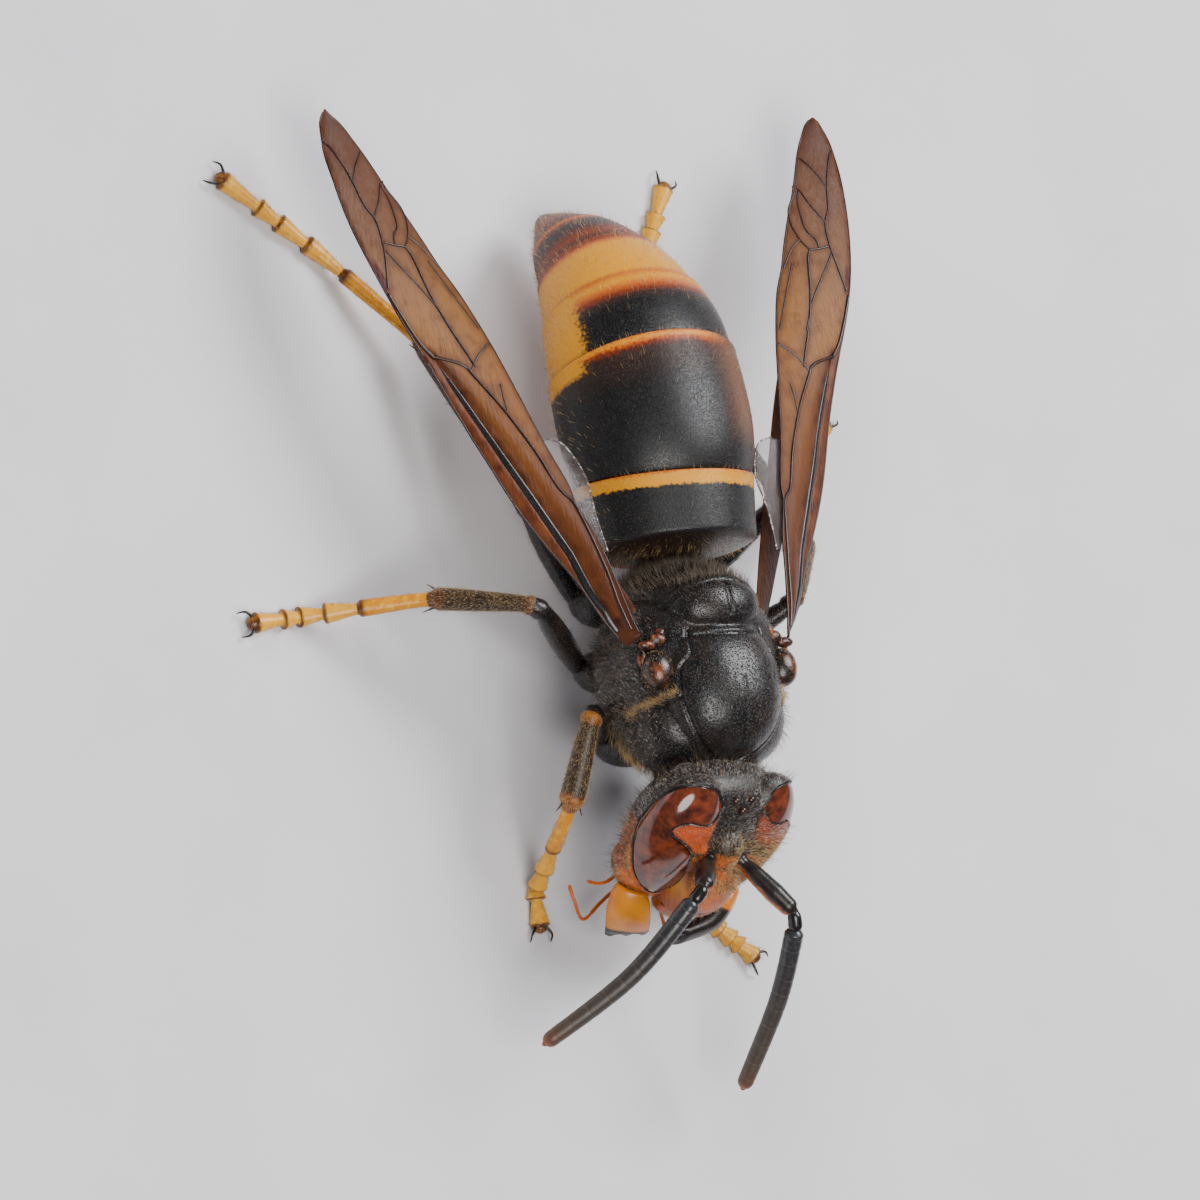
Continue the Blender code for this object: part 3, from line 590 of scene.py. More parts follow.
class Look:
    """One procedural finish. Each method adds a node and gives back what it puts out."""

    def __init__(self, name, roughness=0.4, **sockets):
        self.material = bpy.data.materials.new(name)
        self.material.use_nodes = True
        self.nodes = self.material.node_tree.nodes
        self.links = self.material.node_tree.links
        self.shader = self.nodes["Principled BSDF"]
        self.shader.inputs["Roughness"].default_value = roughness
        for key, value in sockets.items():
            self.shader.inputs[key.replace("_", " ")].default_value = value
        coordinates = self.nodes.new("ShaderNodeTexCoord")
        mapping = self.nodes.new("ShaderNodeMapping")
        mapping.inputs["Scale"].default_value = (1000.0, 1000.0, 1000.0)
        self.links.new(coordinates.outputs["Object"], mapping.inputs["Vector"])
        self.place = mapping.outputs["Vector"]
        self.relief = None

    def feed(self, socket, value):
        if isinstance(value, bpy.types.NodeSocket):
            self.links.new(value, socket)
        elif isinstance(value, (tuple, list)) and len(value) == 3 and socket.type == "RGBA":
            socket.default_value = (*value, 1.0)
        else:
            socket.default_value = value

    def add(self, kind, settings=None, inputs=None, output=0):
        made = self.nodes.new(kind)
        for key, value in (settings or {}).items():
            setattr(made, key, value)
        for key, value in (inputs or {}).items():
            self.feed(made.inputs[key], value)
        return made.outputs[output]

    def noise(self, size, detail=3.0, rough=0.55, vector=None):
        return self.add("ShaderNodeTexNoise", None, {
            "Vector": vector or self.place, "Scale": 1.0 / size, "Detail": detail,
            "Roughness": rough})

    def cells(self, size):
        return self.add("ShaderNodeTexVoronoi", None, {
            "Vector": self.place, "Scale": 1.0 / size})

    def ramp(self, value, stops):
        made = self.nodes.new("ShaderNodeValToRGB")
        points = made.color_ramp.elements
        points.remove(points[1])
        points[0].position = stops[0][0]
        points[0].color = (*stops[0][1], 1.0)
        for place, colour in stops[1:]:
            points.new(place).color = (*colour, 1.0)
        self.feed(made.inputs[0], value)
        return made.outputs[0]

    def between(self, value, low, high, low_out=0.0, high_out=1.0):
        return self.add("ShaderNodeMapRange", {"interpolation_type": "SMOOTHSTEP"}, {
            0: value, 1: low, 2: high, 3: low_out, 4: high_out})

    def maths(self, operation, first, second=0.0, third=0.0):
        return self.add("ShaderNodeMath", {"operation": operation},
                        {0: first, 1: second, 2: third})

    def mixed(self, share, first, second):
        made = self.nodes.new("ShaderNodeMix")
        made.data_type = "RGBA"
        self.feed(made.inputs[0], share)
        self.feed(made.inputs[6], first)
        self.feed(made.inputs[7], second)
        return made.outputs[2]

    def worn(self, size, detail, glossy, dull):
        """Roughness that wanders between two values."""
        self.rough(self.between(self.noise(size, detail), 0.3, 0.7, glossy, dull))

    def shifted(self, value, noise, amount):
        """A value moved up and down by a noise, so that its edges are ragged."""
        return self.maths("MULTIPLY_ADD", self.maths("SUBTRACT", noise, 0.5), amount, value)

    def reads(self, name):
        return self.add("ShaderNodeAttribute", {"attribute_name": name}, None, 2)

    def across_along(self):
        vector = self.add("ShaderNodeUVMap", {"uv_map": "UVMap"})
        made = self.nodes.new("ShaderNodeSeparateXYZ")
        self.links.new(vector, made.inputs[0])
        return made.outputs[0], made.outputs[1]

    def colour(self, value):
        self.feed(self.shader.inputs["Base Color"], value)

    def rough(self, value):
        self.feed(self.shader.inputs["Roughness"], value)

    def raise_by(self, height, distance, strength):
        """Lay a relief over those before it; the distance is in mm."""
        made = self.nodes.new("ShaderNodeBump")
        made.inputs["Distance"].default_value = distance * MM
        made.inputs["Strength"].default_value = strength
        self.feed(made.inputs["Height"], height)
        if self.relief is not None:
            self.links.new(self.relief, made.inputs["Normal"])
        self.relief = made.outputs[0]
        self.links.new(self.relief, self.shader.inputs["Normal"])


def tint(name, share=1.0):
    """One of the colours that a user can change, or a share of it."""
    return tuple(spread(getattr(bpy.context.scene.hornet_colours, name)) * share)


FINISHES = {}


def kept(make):
    """A finish that is made once and then shared."""
    if make not in FINISHES:
        FINISHES[make] = make(make.__name__)
    return FINISHES[make]


def black_cuticle(name):
    """Black, finely punctured cuticle, browner in patches, with painted glints and painted shade
    darkening its grooves.
    """
    look = Look(name, 0.25, IOR=1.48)
    broad = look.noise(0.9, 3.0)
    base = look.ramp(broad, ((0.35, tint("black")), (0.75, (0.020, 0.013, 0.011))))
    pits = look.cells(0.062)
    fine = look.noise(0.035, 4.0)
    base = look.mixed(look.between(pits, 0.3, 0.08), base, (0.003, 0.003, 0.004))
    glint = look.between(look.cells(0.034), 0.16, 0.04, 0.0, 0.7)
    glint = look.maths("MULTIPLY", glint, look.between(broad, 0.35, 0.6, 0.25, 1.0))
    base = look.mixed(glint, base, (0.20, 0.15, 0.11))
    # painted shade: the grooves marked on the skin are darkened to near black
    look.colour(look.mixed(look.maths("MULTIPLY", look.reads("groove"), 0.85), base,
                           (0.002, 0.002, 0.002)))
    look.rough(look.between(fine, 0.3, 0.75, 0.17, 0.36))
    look.raise_by(look.noise(0.22, 3.0), 0.03, 0.6)
    look.raise_by(look.between(pits, 0.0, 0.45), 0.016, 0.9)
    look.raise_by(fine, 0.008, 0.8)
    return look.material


def glossy_cuticle(name):
    """Nearly smooth black cuticle, as on the eye rims, the pedicels and the wing folds."""
    look = Look(name, 0.2, IOR=1.55)
    look.colour(look.ramp(look.noise(0.4), ((0.35, tint("black")),
                                            (0.8, (0.020, 0.011, 0.009)))))
    look.worn(0.05, 3.0, 0.16, 0.3)
    look.raise_by(look.noise(0.025, 3.0), 0.003, 0.5)
    return look.material


def orange_cuticle(name):
    """Orange skin of the palps, yellower in patches."""
    look = Look(name, 0.36, IOR=1.52)
    tone = look.noise(0.35, 4.0)
    look.colour(look.ramp(tone, ((0.3, tint("orange", 0.7)),
                                 (0.6, tint("orange")),
                                 (0.85, tint("yellow")))))
    look.raise_by(look.noise(0.06, 3.0), 0.005, 0.5)
    return look.material


def hair_look(name, dark, light):
    """Hairs of tones between two colours, glossier towards their tips."""
    look = Look(name, 0.38)
    look.colour(look.mixed(look.reads("tone"), dark, light))
    look.rough(look.between(look.reads("up_hair"), 0.0, 1.0, 0.48, 0.33))
    return look.material


def silver_hair(name):
    return hair_look(name, (0.05, 0.045, 0.042), (0.85, 0.82, 0.77))


def golden_hair(name):
    return hair_look(name, (0.22, 0.11, 0.035), (0.85, 0.60, 0.28))


def brown_hair(name):
    return hair_look(name, (0.02, 0.013, 0.009), (0.27, 0.20, 0.14))


# Gaster

def gaster_skin(number, share, angle):
    """Places on a segment's skin, a share of the way along it and at an angle round it."""
    rings = spread((WAIST, *SEGMENT_REARS))
    ring = through(rings, (number + share) / (len(rings) - 1))
    middle, width, height = ring[:, :3].copy(), ring[:, 3], ring[:, 4]
    lean = np.radians(ring[:, 5])
    if number == 0:
        front = np.clip(share / 0.3, 0.0, 1.0)
        shoulder = np.sqrt(np.maximum(1.0 - (1.0 - front) ** 2, 0.0))
        width = 0.5 + (2.05 + 0.17 * share) * shoulder
        height = 0.5 + (1.7 + 0.2 * share) * shoulder
        middle[:, 2] = -1.1 + 0.9 * shoulder
    belly = np.where(np.sin(angle) < 0.0, 0.92, 1.0)
    points = middle.copy()
    points[:, 0] += np.cos(angle) * width
    points[:, 1] += np.sin(lean) * np.sin(angle) * height * belly
    points[:, 2] += np.cos(lean) * np.sin(angle) * height * belly
    return points, middle


YELLOW_SEGMENT = 3      # counted from 0 at the front
# Rows of a segment: share of its grid, share of its length, and size against its skin
SEGMENT_ROWS = ((0.0, -0.07, 0.9), (0.05, -0.02, 0.955), (0.1, 0.03, 0.978), (0.45, 0.5, 1.0),
                (0.86, 0.955, 1.012), (0.9, 0.985, 1.016), (0.93, 0.998, 1.012),
                (0.95, 1.003, 0.996), (0.97, 0.998, 0.982), (1.0, 0.97, 0.94))
FIRST_ROWS = ((0.0, 0.0, 0.96), (0.12, 0.03, 1.0), (0.3, 0.12, 1.0), (0.55, 0.5, 1.0),
              (0.86, 0.94, 1.006), (0.9, 0.978, 1.01), (0.93, 0.997, 1.008),
              (0.95, 1.003, 0.994), (0.97, 0.997, 0.98), (1.0, 0.96, 0.93))
LAST_ROWS = ((0.0, -0.07, 0.9), (0.05, -0.02, 0.955), (0.1, 0.03, 0.978), (0.5, 0.55, 1.0),
             (0.88, 0.96, 1.0), (0.96, 1.02, 0.75), (1.0, 1.04, 0.2))


def gaster_segment(number):
    """A ring of the gaster that slides under the one before it, with a rolled rear rim."""
    rows = FIRST_ROWS if number == 0 else LAST_ROWS if number == 5 else SEGMENT_ROWS
    piece, u, v = sheet("gaster_skin_%d" % (number + 1), 144, 72)
    marks, shares, scales = (spread(column) for column in zip(*rows))
    share = np.interp(v, marks, shares)
    scale = np.interp(v, marks, scales)
    angle = 2.0 * np.pi * (u - 0.25)
    points, middle = gaster_skin(number, share, angle)
    under = ease(-0.36, -0.40, np.sin(angle))
    scale = scale * (1.0 - 0.022 * under)
    put(piece, middle + (points - middle) * scale[:, None])
    lay_map(piece, "UVMap", u, share)
    mark(piece, "under", under)
    close_up(piece)
    return piece


def segment_look(number):
    """Cuticle of one segment of the gaster, with its bands and the fine grain of its hair pits."""
    look = Look("gaster_%d_cuticle" % (number + 1), 0.3, IOR=1.45)
    across, along = look.across_along()
    black = tint("black")
    yellow = tint("yellow")
    orange = tint("orange")
    rust = tint("orange", (0.36, 0.24, 0.3))
    brown = (0.028, 0.011, 0.007)
    tan = (0.13, 0.045, 0.012)
    ragged = look.noise(0.11, 5.0, 0.75)
    broad = look.noise(0.8, 2.0)
    wave = look.shifted(look.shifted(along, ragged, 0.13), broad, 0.04)
    away = look.maths("ABSOLUTE", look.maths("SUBTRACT", across, 0.5))
    away = look.shifted(away, ragged, 0.08)
    left_side = look.between(across, 0.5, 0.3)
    if number == 0:
        base = look.ramp(wave, ((0.0, brown), (0.3, black), (0.848, black), (0.87, yellow),
                                (0.97, yellow), (1.0, orange)))
    elif number == 1:
        base = look.ramp(wave, ((0.0, black), (0.6, black), (0.88, brown), (0.915, rust),
                                (0.94, orange), (0.965, yellow), (0.995, orange)))
        warm = look.ramp(wave, ((0.0, black), (0.35, brown), (0.8, brown), (0.875, rust),
                                (0.92, orange), (0.995, orange)))
        base = look.mixed(left_side, base, warm)
        corner = look.maths("MULTIPLY", look.between(away, 0.17, 0.20),
                            look.between(wave, 0.80, 0.86))
        base = look.mixed(corner, base, yellow)
        tanned = look.maths("MULTIPLY", look.between(away, 0.03, 0.11),
                            look.between(wave, 0.15, 0.45))
        tanned = look.maths("MULTIPLY", tanned, look.between(across, 0.5, 0.46))
        tanned = look.maths("MULTIPLY", tanned, look.between(away, 0.23, 0.14, 0.15, 1.0))
        base = look.mixed(tanned, base, tan)
    elif number == 2:
        base = look.ramp(wave, ((0.0, black), (0.45, black), (0.56, brown), (0.66, rust),
                                (0.76, orange), (0.88, yellow), (1.0, orange)))
        base = look.mixed(look.between(away, 0.165, 0.185), base, yellow)
    elif number == YELLOW_SEGMENT:
        base = look.ramp(wave, ((0.0, orange), (0.1, yellow), (0.74, yellow), (0.84, orange),
                                (0.9, rust), (1.0, rust)))
    elif number == 4:
        base = look.ramp(wave, ((0.0, brown), (0.2, rust), (0.5, brown), (0.72, brown),
                                (0.84, rust), (0.92, orange), (1.0, rust)))
    else:
        base = look.ramp(wave, ((0.0, brown), (0.4, rust), (1.0, brown)))
    sternite = look.ramp(ragged, ((0.3, tint("yellow", 0.5)), (0.7, orange)))
    base = look.mixed(look.maths("MULTIPLY", look.reads("under"), 0.9), base, sternite)
    grain = look.cells(0.036)
    base = look.mixed(look.between(grain, 0.26, 0.05, 0.0, 0.6), base, (0.012, 0.006, 0.004))
    glint = look.maths("MULTIPLY", look.between(look.cells(0.030), 0.18, 0.04),
                       look.between(broad, 0.4, 0.65, 0.25, 0.8))
    shine = (0.85, 0.5, 0.12) if number == YELLOW_SEGMENT else (0.26, 0.17, 0.10)
    look.colour(look.mixed(glint, base, shine))
    look.worn(0.05, 2.0, 0.22, 0.4)
    look.raise_by(look.between(grain, 0.0, 0.5), 0.009, 0.9)
    look.raise_by(look.noise(0.06, 4.0, 0.7), 0.012, 0.8)
    return look.material


def make_gaster():
    """The six segments, each with its down and its long hairs."""
    slots = ("cuticle_black", "cuticle_black", "cuticle_black", "cuticle_yellow",
             "cuticle_brown", "cuticle_brown")
    for number, slot in enumerate(slots):
        skin = gaster_segment(number)
        label = str(number + 1)
        backwards = (0.0, 1.0, -0.15 - 0.15 * number)
        grow("gaster_down_" + label, skin, golden_hair if number == YELLOW_SEGMENT else brown_hair,
             slot, count=7600 - 1000 * number, length=0.055, thickness=0.0055, lie=backwards,
             stand=24.0, seed=40 + number, keep=on_top)
        grow("gaster_hair_" + label, skin, golden_hair, slot, count=1900 - 200 * number,
             length=0.24, thickness=0.008, lie=backwards, stand=52.0, seed=60 + number,
             keep=near_rear_rim(number))
        settle(skin, segment_look(number), slot, "gaster_" + label)


def on_top(where, facing):
    """How likely the down is, which is thin on the underside."""
    return 0.15 + ease(-0.9, -0.2, facing[:, 2])


def near_rear_rim(number):
    """How likely a long hair is, most along a segment's rear rim and its flanks."""
    rear = SEGMENT_REARS[number][1]
    front = SEGMENT_REARS[number - 1][1] if number else WAIST[1]

    def likely(where, facing):
        share = (where[:, 1] - front) / (rear - front)
        return 0.04 + 0.5 * ease(0.7, 1.0, share) + ease(0.5, -0.3, facing[:, 2])

    return likely


# Thorax

# Balls that are grown into the thorax: middle, half sizes and squareness of each
THORAX_BALLS = (
    ((0.0, -0.3, -0.25), (2.72, 2.6, 2.2), 1.22),       # mesopleura
    ((0.0, -1.62, 0.1), (2.52, 1.75, 1.62), 1.2),       # pronotum
    ((0.0, -0.95, 0.6), (2.05, 2.2, 1.9), 1.16),        # scutum
    ((0.0, 1.33, 1.3), (1.5, 0.95, 1.02), 1.08),        # scutellum
    ((0.0, 1.72, 0.75), (1.72, 0.65, 0.78), 1.05),      # metanotum
    ((0.0, 1.4, -0.35), (2.05, 1.58, 1.85), 1.08),      # propodeum
    ((0.0, -2.9, -1.0), (0.95, 0.95, 0.95), 1.0),       # neck
    ((0.0, 3.0, -1.1), (0.42, 0.5, 0.42), 1.0),         # waist
)
# Lines between the plates: depth, width and places; those off the middle are on both sides
SUTURES = (
    (0.10, 0.065, ((-1.3, 0.40, 1.8), (-0.5, 0.42, 2.2), (0.5, 0.42, 2.2), (1.3, 0.40, 1.8))),
    (0.07, 0.08, ((-1.6, 1.3, 1.2), (-1.05, 1.76, 1.9), (-0.36, 1.97, 2.1), (0.36, 1.97, 2.1),
                  (1.05, 1.76, 1.9), (1.6, 1.3, 1.2))),
    (0.045, 0.09, ((0.0, 2.0, 2.2), (0.0, 1.4, 2.3), (0.05, 1.0, 2.2))),
    (0.02, 0.05, ((0.0, -3.1, 1.1), (0.0, -2.2, 2.2), (0.0, -1.0, 2.47))),
)
SIDE_SUTURES = (
    (0.09, 0.06, ((1.24, 0.55, 1.75), (1.38, -0.13, 2.0), (1.58, -0.36, 1.88), (1.71, -0.56, 1.77),
                  (1.74, -1.31, 1.73), (1.3, -2.45, 1.61), (0.32, -3.16, 1.01))),
    (0.07, 0.06, ((1.74, -1.31, 1.73), (2.1, -1.5, 1.25), (2.45, -1.6, 0.65), (2.6, -1.75, 0.1),
                  (2.4, -2.0, -0.8), (1.9, -2.2, -1.6))),
    (0.016, 0.035, ((1.3, 0.05, 2.0), (1.3, -0.4, 2.1), (1.15, -1.0, 2.25))),
    (0.05, 0.07, ((2.75, -0.6, 0.8), (2.8, -0.5, 0.0), (2.5, -0.5, -1.3))),
    (0.06, 0.08, ((2.3, 0.9, 1.1), (2.3, 1.0, 0.2), (2.2, 0.9, -0.9), (1.9, 0.9, -1.6))),
)
LOBE_FRINGE = ((1.85, -1.2, 1.6), (2.15, -1.35, 1.2), (2.45, -1.45, 0.65), (2.6, -1.6, 0.1))
# Scale over the wing's root and the knuckles of the root: middle and half sizes, on the left
TEGULA = ((2.15, -0.5, 1.32), (0.46, 0.56, 0.42))
WING_BASES = (((2.0, 0.40, 1.36), (0.26, 0.2, 0.16)), ((2.38, 0.24, 1.32), (0.3, 0.16, 0.16)),
              ((1.87, 0.62, 1.3), (0.16, 0.13, 0.16)), ((2.5, -0.12, 1.12), (0.15, 0.3, 0.16)))


def thorax_skin():
    """The plates grown into one skin, with the sutures sunk between them."""
    skin = fused("thorax_skin", [ball(*entry) for entry in THORAX_BALLS], voxel=0.047, times=3)
    mark(skin, "groove", np.zeros(len(skin.data.vertices)))
    lines = list(SUTURES)
    for depth, width, path in SIDE_SUTURES:
        lines += [(depth, width, spread(path) * (side, 1.0, 1.0)) for side in (-1, 1)]
    for depth, width, path in lines:
        line = even(through(path, np.linspace(0.0, 1.0, 40)), 30)
        # each suture is sunk and marked with painted shade, which the finish darkens
        darken(skin, press(skin, on_skin(skin, line), depth, width))
    return skin


def on_rims(where, facing):
    """How likely the long fringe is: on the rear, the flanks and the lower front."""
    rear = ease(1.5, 2.2, where[:, 1])
    flank = ease(1.9, 2.5, np.abs(where[:, 0]))
    front = ease(-2.7, -3.2, where[:, 1]) * ease(0.7, 0.1, where[:, 2])
    return 0.01 + np.maximum(np.maximum(rear, 0.6 * flank), front)


def on_flanks(where, facing):
    """How likely the silver hairs are, which are for the flanks."""
    return 0.02 + ease(1.9, 2.4, np.abs(where[:, 0])) * ease(-2.0, -0.5, where[:, 2])


def beside_neck(where, facing):
    """How likely the golden tuft is on each side under the neck."""
    outwards = np.abs(where[:, 0]) - 1.9
    away = outwards ** 2 + (where[:, 1] + 2.5) ** 2 + (where[:, 2] + 1.0) ** 2
    return np.exp(-away / 0.35) * ease(0.0, -0.4, where[:, 2])


def along_line(path, width):
    """How likely a hair is beside a line."""
    def likely(where, facing):
        return np.exp(-(apart_from(where, path) / width) ** 2)

    return likely


def flattened(where, facing):
    """Away from the middle of the thorax, and less so up and down."""
    return where * (1.0, 1.0, 0.3)


def shorter_on_top(where, facing):
    """Length of the fringe, which is short over the scutellum."""
    return 0.38 - 0.22 * ease(1.6, 2.2, where[:, 2])


def make_shoulder(name, side, skin):
    """The golden fringe of the pronotum's lobe, the scale over the wing's root, and the root."""
    grow("lobe_fringe_" + name, skin, golden_hair, "cuticle_black", count=900, length=0.16,
         thickness=0.007, lie=(side * 0.4, 1.0, -0.2), stand=40.0, seed=13,
         keep=along_line(spread(LOBE_FRINGE) * (side, 1.0, 1.0), 0.09))
    scale = ball(*TEGULA, 1.05)
    put(scale, places(scale) * (side, 1.0, 1.0))
    close_up(scale)
    grow("tegula_hair_" + name, scale, golden_hair, "cuticle_black", count=500, length=0.08,
         thickness=0.0065, lie=(0.0, 1.0, 0.0), stand=30.0, seed=14)
    settle(renamed(scale, "tegula_" + name), kept(tegula_look), "cuticle_black")
    base = fused("wing_base_" + name, [ball(middle, half) for middle, half in WING_BASES],
                 voxel=0.03, times=3)
    put(base, places(base) * (side, 1.0, 1.0))
    close_up(base)
    settle(base, kept(wing_base_look), "cuticle_orange")


def make_thorax():
    """The thorax with its coats, and what stands at the roots of the wings."""
    skin = thorax_skin()
    grow("thorax_fringe", skin, brown_hair, "cuticle_black", count=8200, length=shorter_on_top,
         thickness=0.0085, lie=flattened, stand=52.0, seed=11, keep=on_rims, bend=0.4)
    grow("thorax_down", skin, brown_hair, "cuticle_black", count=11500, length=0.075,
         thickness=0.0065, lie=(0.0, 1.0, 0.0), stand=28.0, seed=12)
    grow("thorax_silver", skin, silver_hair, "cuticle_black", count=2200, length=0.13,
         thickness=0.008, lie=(0.0, 1.0, -0.4), stand=25.0, seed=15, keep=on_flanks)
    grow("neck_hair", skin, golden_hair, "cuticle_black", count=1000, length=0.42,
         thickness=0.009, lie=(0.0, -1.0, -0.2), stand=45.0, seed=16, keep=beside_neck)
    for name, side in SIDES:
        make_shoulder(name, side, skin)
    settle(skin, kept(black_cuticle), "cuticle_black", "thorax")


def tegula_look(name):
    """Dark glossy scale with an orange-red spot."""
    look = Look(name, 0.22, IOR=1.55)
    spot = look.noise(0.55, 2.0)
    base = look.ramp(spot, ((0.46, tint("black")), (0.60, (0.05, 0.015, 0.006)),
                            (0.78, tint("orange", 0.6))))
    look.colour(base)
    look.worn(0.05, 3.0, 0.2, 0.4)
    look.raise_by(look.cells(0.06), 0.006, 0.5)
    return look.material


def wing_base_look(name):
    """Knuckled sclerites, orange-brown with dark hollows, the dark partly their own colour and
    partly painted shade.
    """
    look = Look(name, 0.3, IOR=1.5)
    tone = look.noise(0.22, 4.0)
    look.colour(look.ramp(tone, ((0.42, (0.008, 0.005, 0.004)), (0.56, (0.09, 0.022, 0.008)),
                                 (0.68, (0.26, 0.075, 0.015)), (0.8, (0.50, 0.33, 0.2)))))
    # the same noise raises the relief, so the dark places are the hollows: partly painted shade
    look.raise_by(tone, 0.05, 0.8)
    look.raise_by(look.noise(0.05, 3.0), 0.006, 0.5)
    return look.material


# Head

def head_frame():
    """The head's own frame on the body: lifted, tilted and turned a little to one side."""
    place = Matrix.Translation(Vector(HEAD_AT))
    turn = Matrix.Rotation(math.radians(HEAD_TURN), 4, "Z")
    lift = Matrix.Rotation(math.radians(-HEAD_LIFT), 4, "X")
    tilt = Matrix.Rotation(math.radians(HEAD_TILT), 4, "Y")
    return place @ turn @ lift @ tilt


HEAD = head_frame()
# Balls that are grown into the head, in its own frame: middle, half sizes and squareness of each
HEAD_BALLS = (
    ((0.0, 0.05, 0.05), (2.58, 1.25, 2.12), 1.18),      # skull
    ((0.0, -0.75, -0.2), (1.6, 0.66, 1.0), 1.1),        # face
    ((0.0, -1.05, 0.0), (0.5, 0.52, 0.75), 1.0),        # shield between the antennae
    ((0.0, -0.85, -1.35), (1.3, 0.7, 1.12), 1.15),      # clypeus
    ((0.0, -0.7, -2.1), (1.15, 0.55, 0.5), 1.1),        # labrum
    ((0.0, 0.35, -1.85), (0.95, 0.75, 0.6), 1.0),       # labium
    ((-1.85, 0.0, -1.25), (0.62, 0.8, 0.72), 1.05),     # right cheek
    ((1.85, 0.0, -1.25), (0.62, 0.8, 0.72), 1.05),      # left cheek
)
# The upper and the lower edge of the clypeus, from right to left
CLYPEUS_EDGES = (
    ((-1.05, -1.0, -1.5), (-0.95, -1.2, -0.75), (-0.5, -1.5, -0.5), (0.0, -1.7, -0.42),
     (0.5, -1.5, -0.5), (0.95, -1.2, -0.75), (1.05, -1.0, -1.5)),
    ((-1.0, -0.9, -1.95), (0.0, -1.4, -2.05), (1.0, -0.9, -1.95)),
)
FACE_MIDDLE = (0.0, -1.1, -0.5)     # where the hairs of the head point away from
OCELLI = ((0.06, -1.0, 1.38), (-0.26, -0.86, 1.63), (0.36, -0.84, 1.65))
# Right eye: a long dome, and its rim as angles round and up from straight ahead, degrees
EYE_MIDDLE = (-1.37, -0.36, 0.02)
EYE_HALF = (1.34, 0.86, 2.15)
EYE_TILT = (3.0, -2.5)  # turns about X and Y, which lean its top ahead and outwards, degrees
EYE_RIM = ((44, 50), (38, 61), (-3, 72), (-67, 69), (-94, 58), (-109, 44), (-118, 27), (-118, 14),
           (-107, 4), (-95, -7), (-83, -17), (-72, -28), (-56, -38), (-41, -46), (-14, -52),
           (5, -47), (16, -39), (18, -27), (11, -14), (0, 3), (-19, 12), (-39, 17), (-45, 22),
           (-26, 29), (-3, 28), (17, 28), (32, 34), (47, 40))
LEFT_EYE_TUCK = 34.0    # how much narrower the lower lobe of the left eye is, degrees


def in_head(points):
    """Places of the body in the head's own frame."""
    return turned(HEAD.inverted(), points)


def on_head(points):
    """Places of the head's own frame on the body."""
    return turned(HEAD, points)


def socket_of(side):
    """Where an antenna stands, in the head's frame."""
    return spread(SOCKET) * (side, 1.0, 1.0)


def head_look(name):
    """Cuticle of the head, black above and orange on the face and the lower cheeks, with a yellow
    patch of painted light, a pinkish painted sheen and painted shade in its grooves.
    """
    look = Look(name, 0.3, IOR=1.5)
    orange = tint("orange")
    tone = look.noise(0.3, 4.0)
    warm = look.ramp(tone, ((0.3, tint("orange", 0.45)), (0.6, orange),
                            (0.85, tint("orange", (1.2, 1.5, 1.5)))))
    cool = look.ramp(tone, ((0.3, tint("black")), (0.8, (0.022, 0.013, 0.011))))
    share = look.shifted(look.reads("orange"), look.noise(0.12, 4.0), 0.5)
    base = look.mixed(look.between(share, 0.35, 0.65), cool, warm)
    base = look.mixed(look.maths("MULTIPLY", look.reads("sinus"), 0.65), base,
                      (0.60, 0.075, 0.016))
    # painted light: a brighter yellow patch on the right side of the clypeus
    base = look.mixed(look.reads("yellow"), base, tint("yellow"))
    # painted sheen: pinkish along the lower rim of the clypeus
    base = look.mixed(look.reads("pink_sheen"), base, (0.30, 0.085, 0.05))
    pits = look.cells(0.07)
    base = look.mixed(look.between(pits, 0.22, 0.02, 0.0, 0.75), base, (0.006, 0.004, 0.004))
    # painted shade in the grooves, the sockets and along the eyes' edges
    look.colour(look.mixed(look.maths("MULTIPLY", look.reads("groove"), 0.85), base,
                           (0.003, 0.002, 0.002)))
    look.worn(0.05, 3.0, 0.28, 0.46)
    look.raise_by(look.between(pits, 0.0, 0.45), 0.009, 0.7)
    look.raise_by(look.noise(0.04, 3.0), 0.005, 0.6)
    return look.material


def eye_look(name):
    """Glossy red-brown dome, streaked under its surface and finely faceted, darkened near its rim
    by painted shade.
    """
    look = Look(name, 0.14, IOR=1.5, Coat_Weight=0.6, Coat_Roughness=0.07)
    place = look.add("ShaderNodeMapping", None, {
        "Vector": look.place, "Rotation": (0.4, 0.5, -0.3), "Scale": (1.0, 1.0, 2.2)})
    streaks = look.noise(0.42, 5.0, 0.62, place)
    deep = look.ramp(streaks, ((0.34, (0.030, 0.007, 0.003)), (0.48, tint("eye")),
                               (0.62, tint("eye", 1.9)),
                               (0.78, tint("eye", 2.8))))
    # painted shade: the dome is darkened near its rim
    look.colour(look.mixed(look.between(look.reads("rim"), 0.45, 0.85), deep,
                           (0.006, 0.004, 0.003)))
    look.raise_by(look.cells(0.026), 0.0008, 0.3)
    return look.material


def eye_turn():
    """How the long axis of an eye leans in the head."""
    tilt = Matrix.Rotation(math.radians(EYE_TILT[0]), 3, "X")
    return np.array(tilt @ Matrix.Rotation(math.radians(EYE_TILT[1]), 3, "Y"))


def in_dome(points, side):
    """How far out places in the head's frame lie against an eye's dome, and their direction."""
    local = (points * (-side, 1.0, 1.0) - EYE_MIDDLE) @ eye_turn() / EYE_HALF
    reach = np.linalg.norm(local, axis=1)
    return reach, local / reach[:, None]


def from_dome(directions, reach, side):
    """Places in the head's frame from directions and how far out they lie against the dome."""
    local = directions * spread(reach)[..., None] * EYE_HALF
    return (local @ eye_turn().T + EYE_MIDDLE) * (-side, 1.0, 1.0)


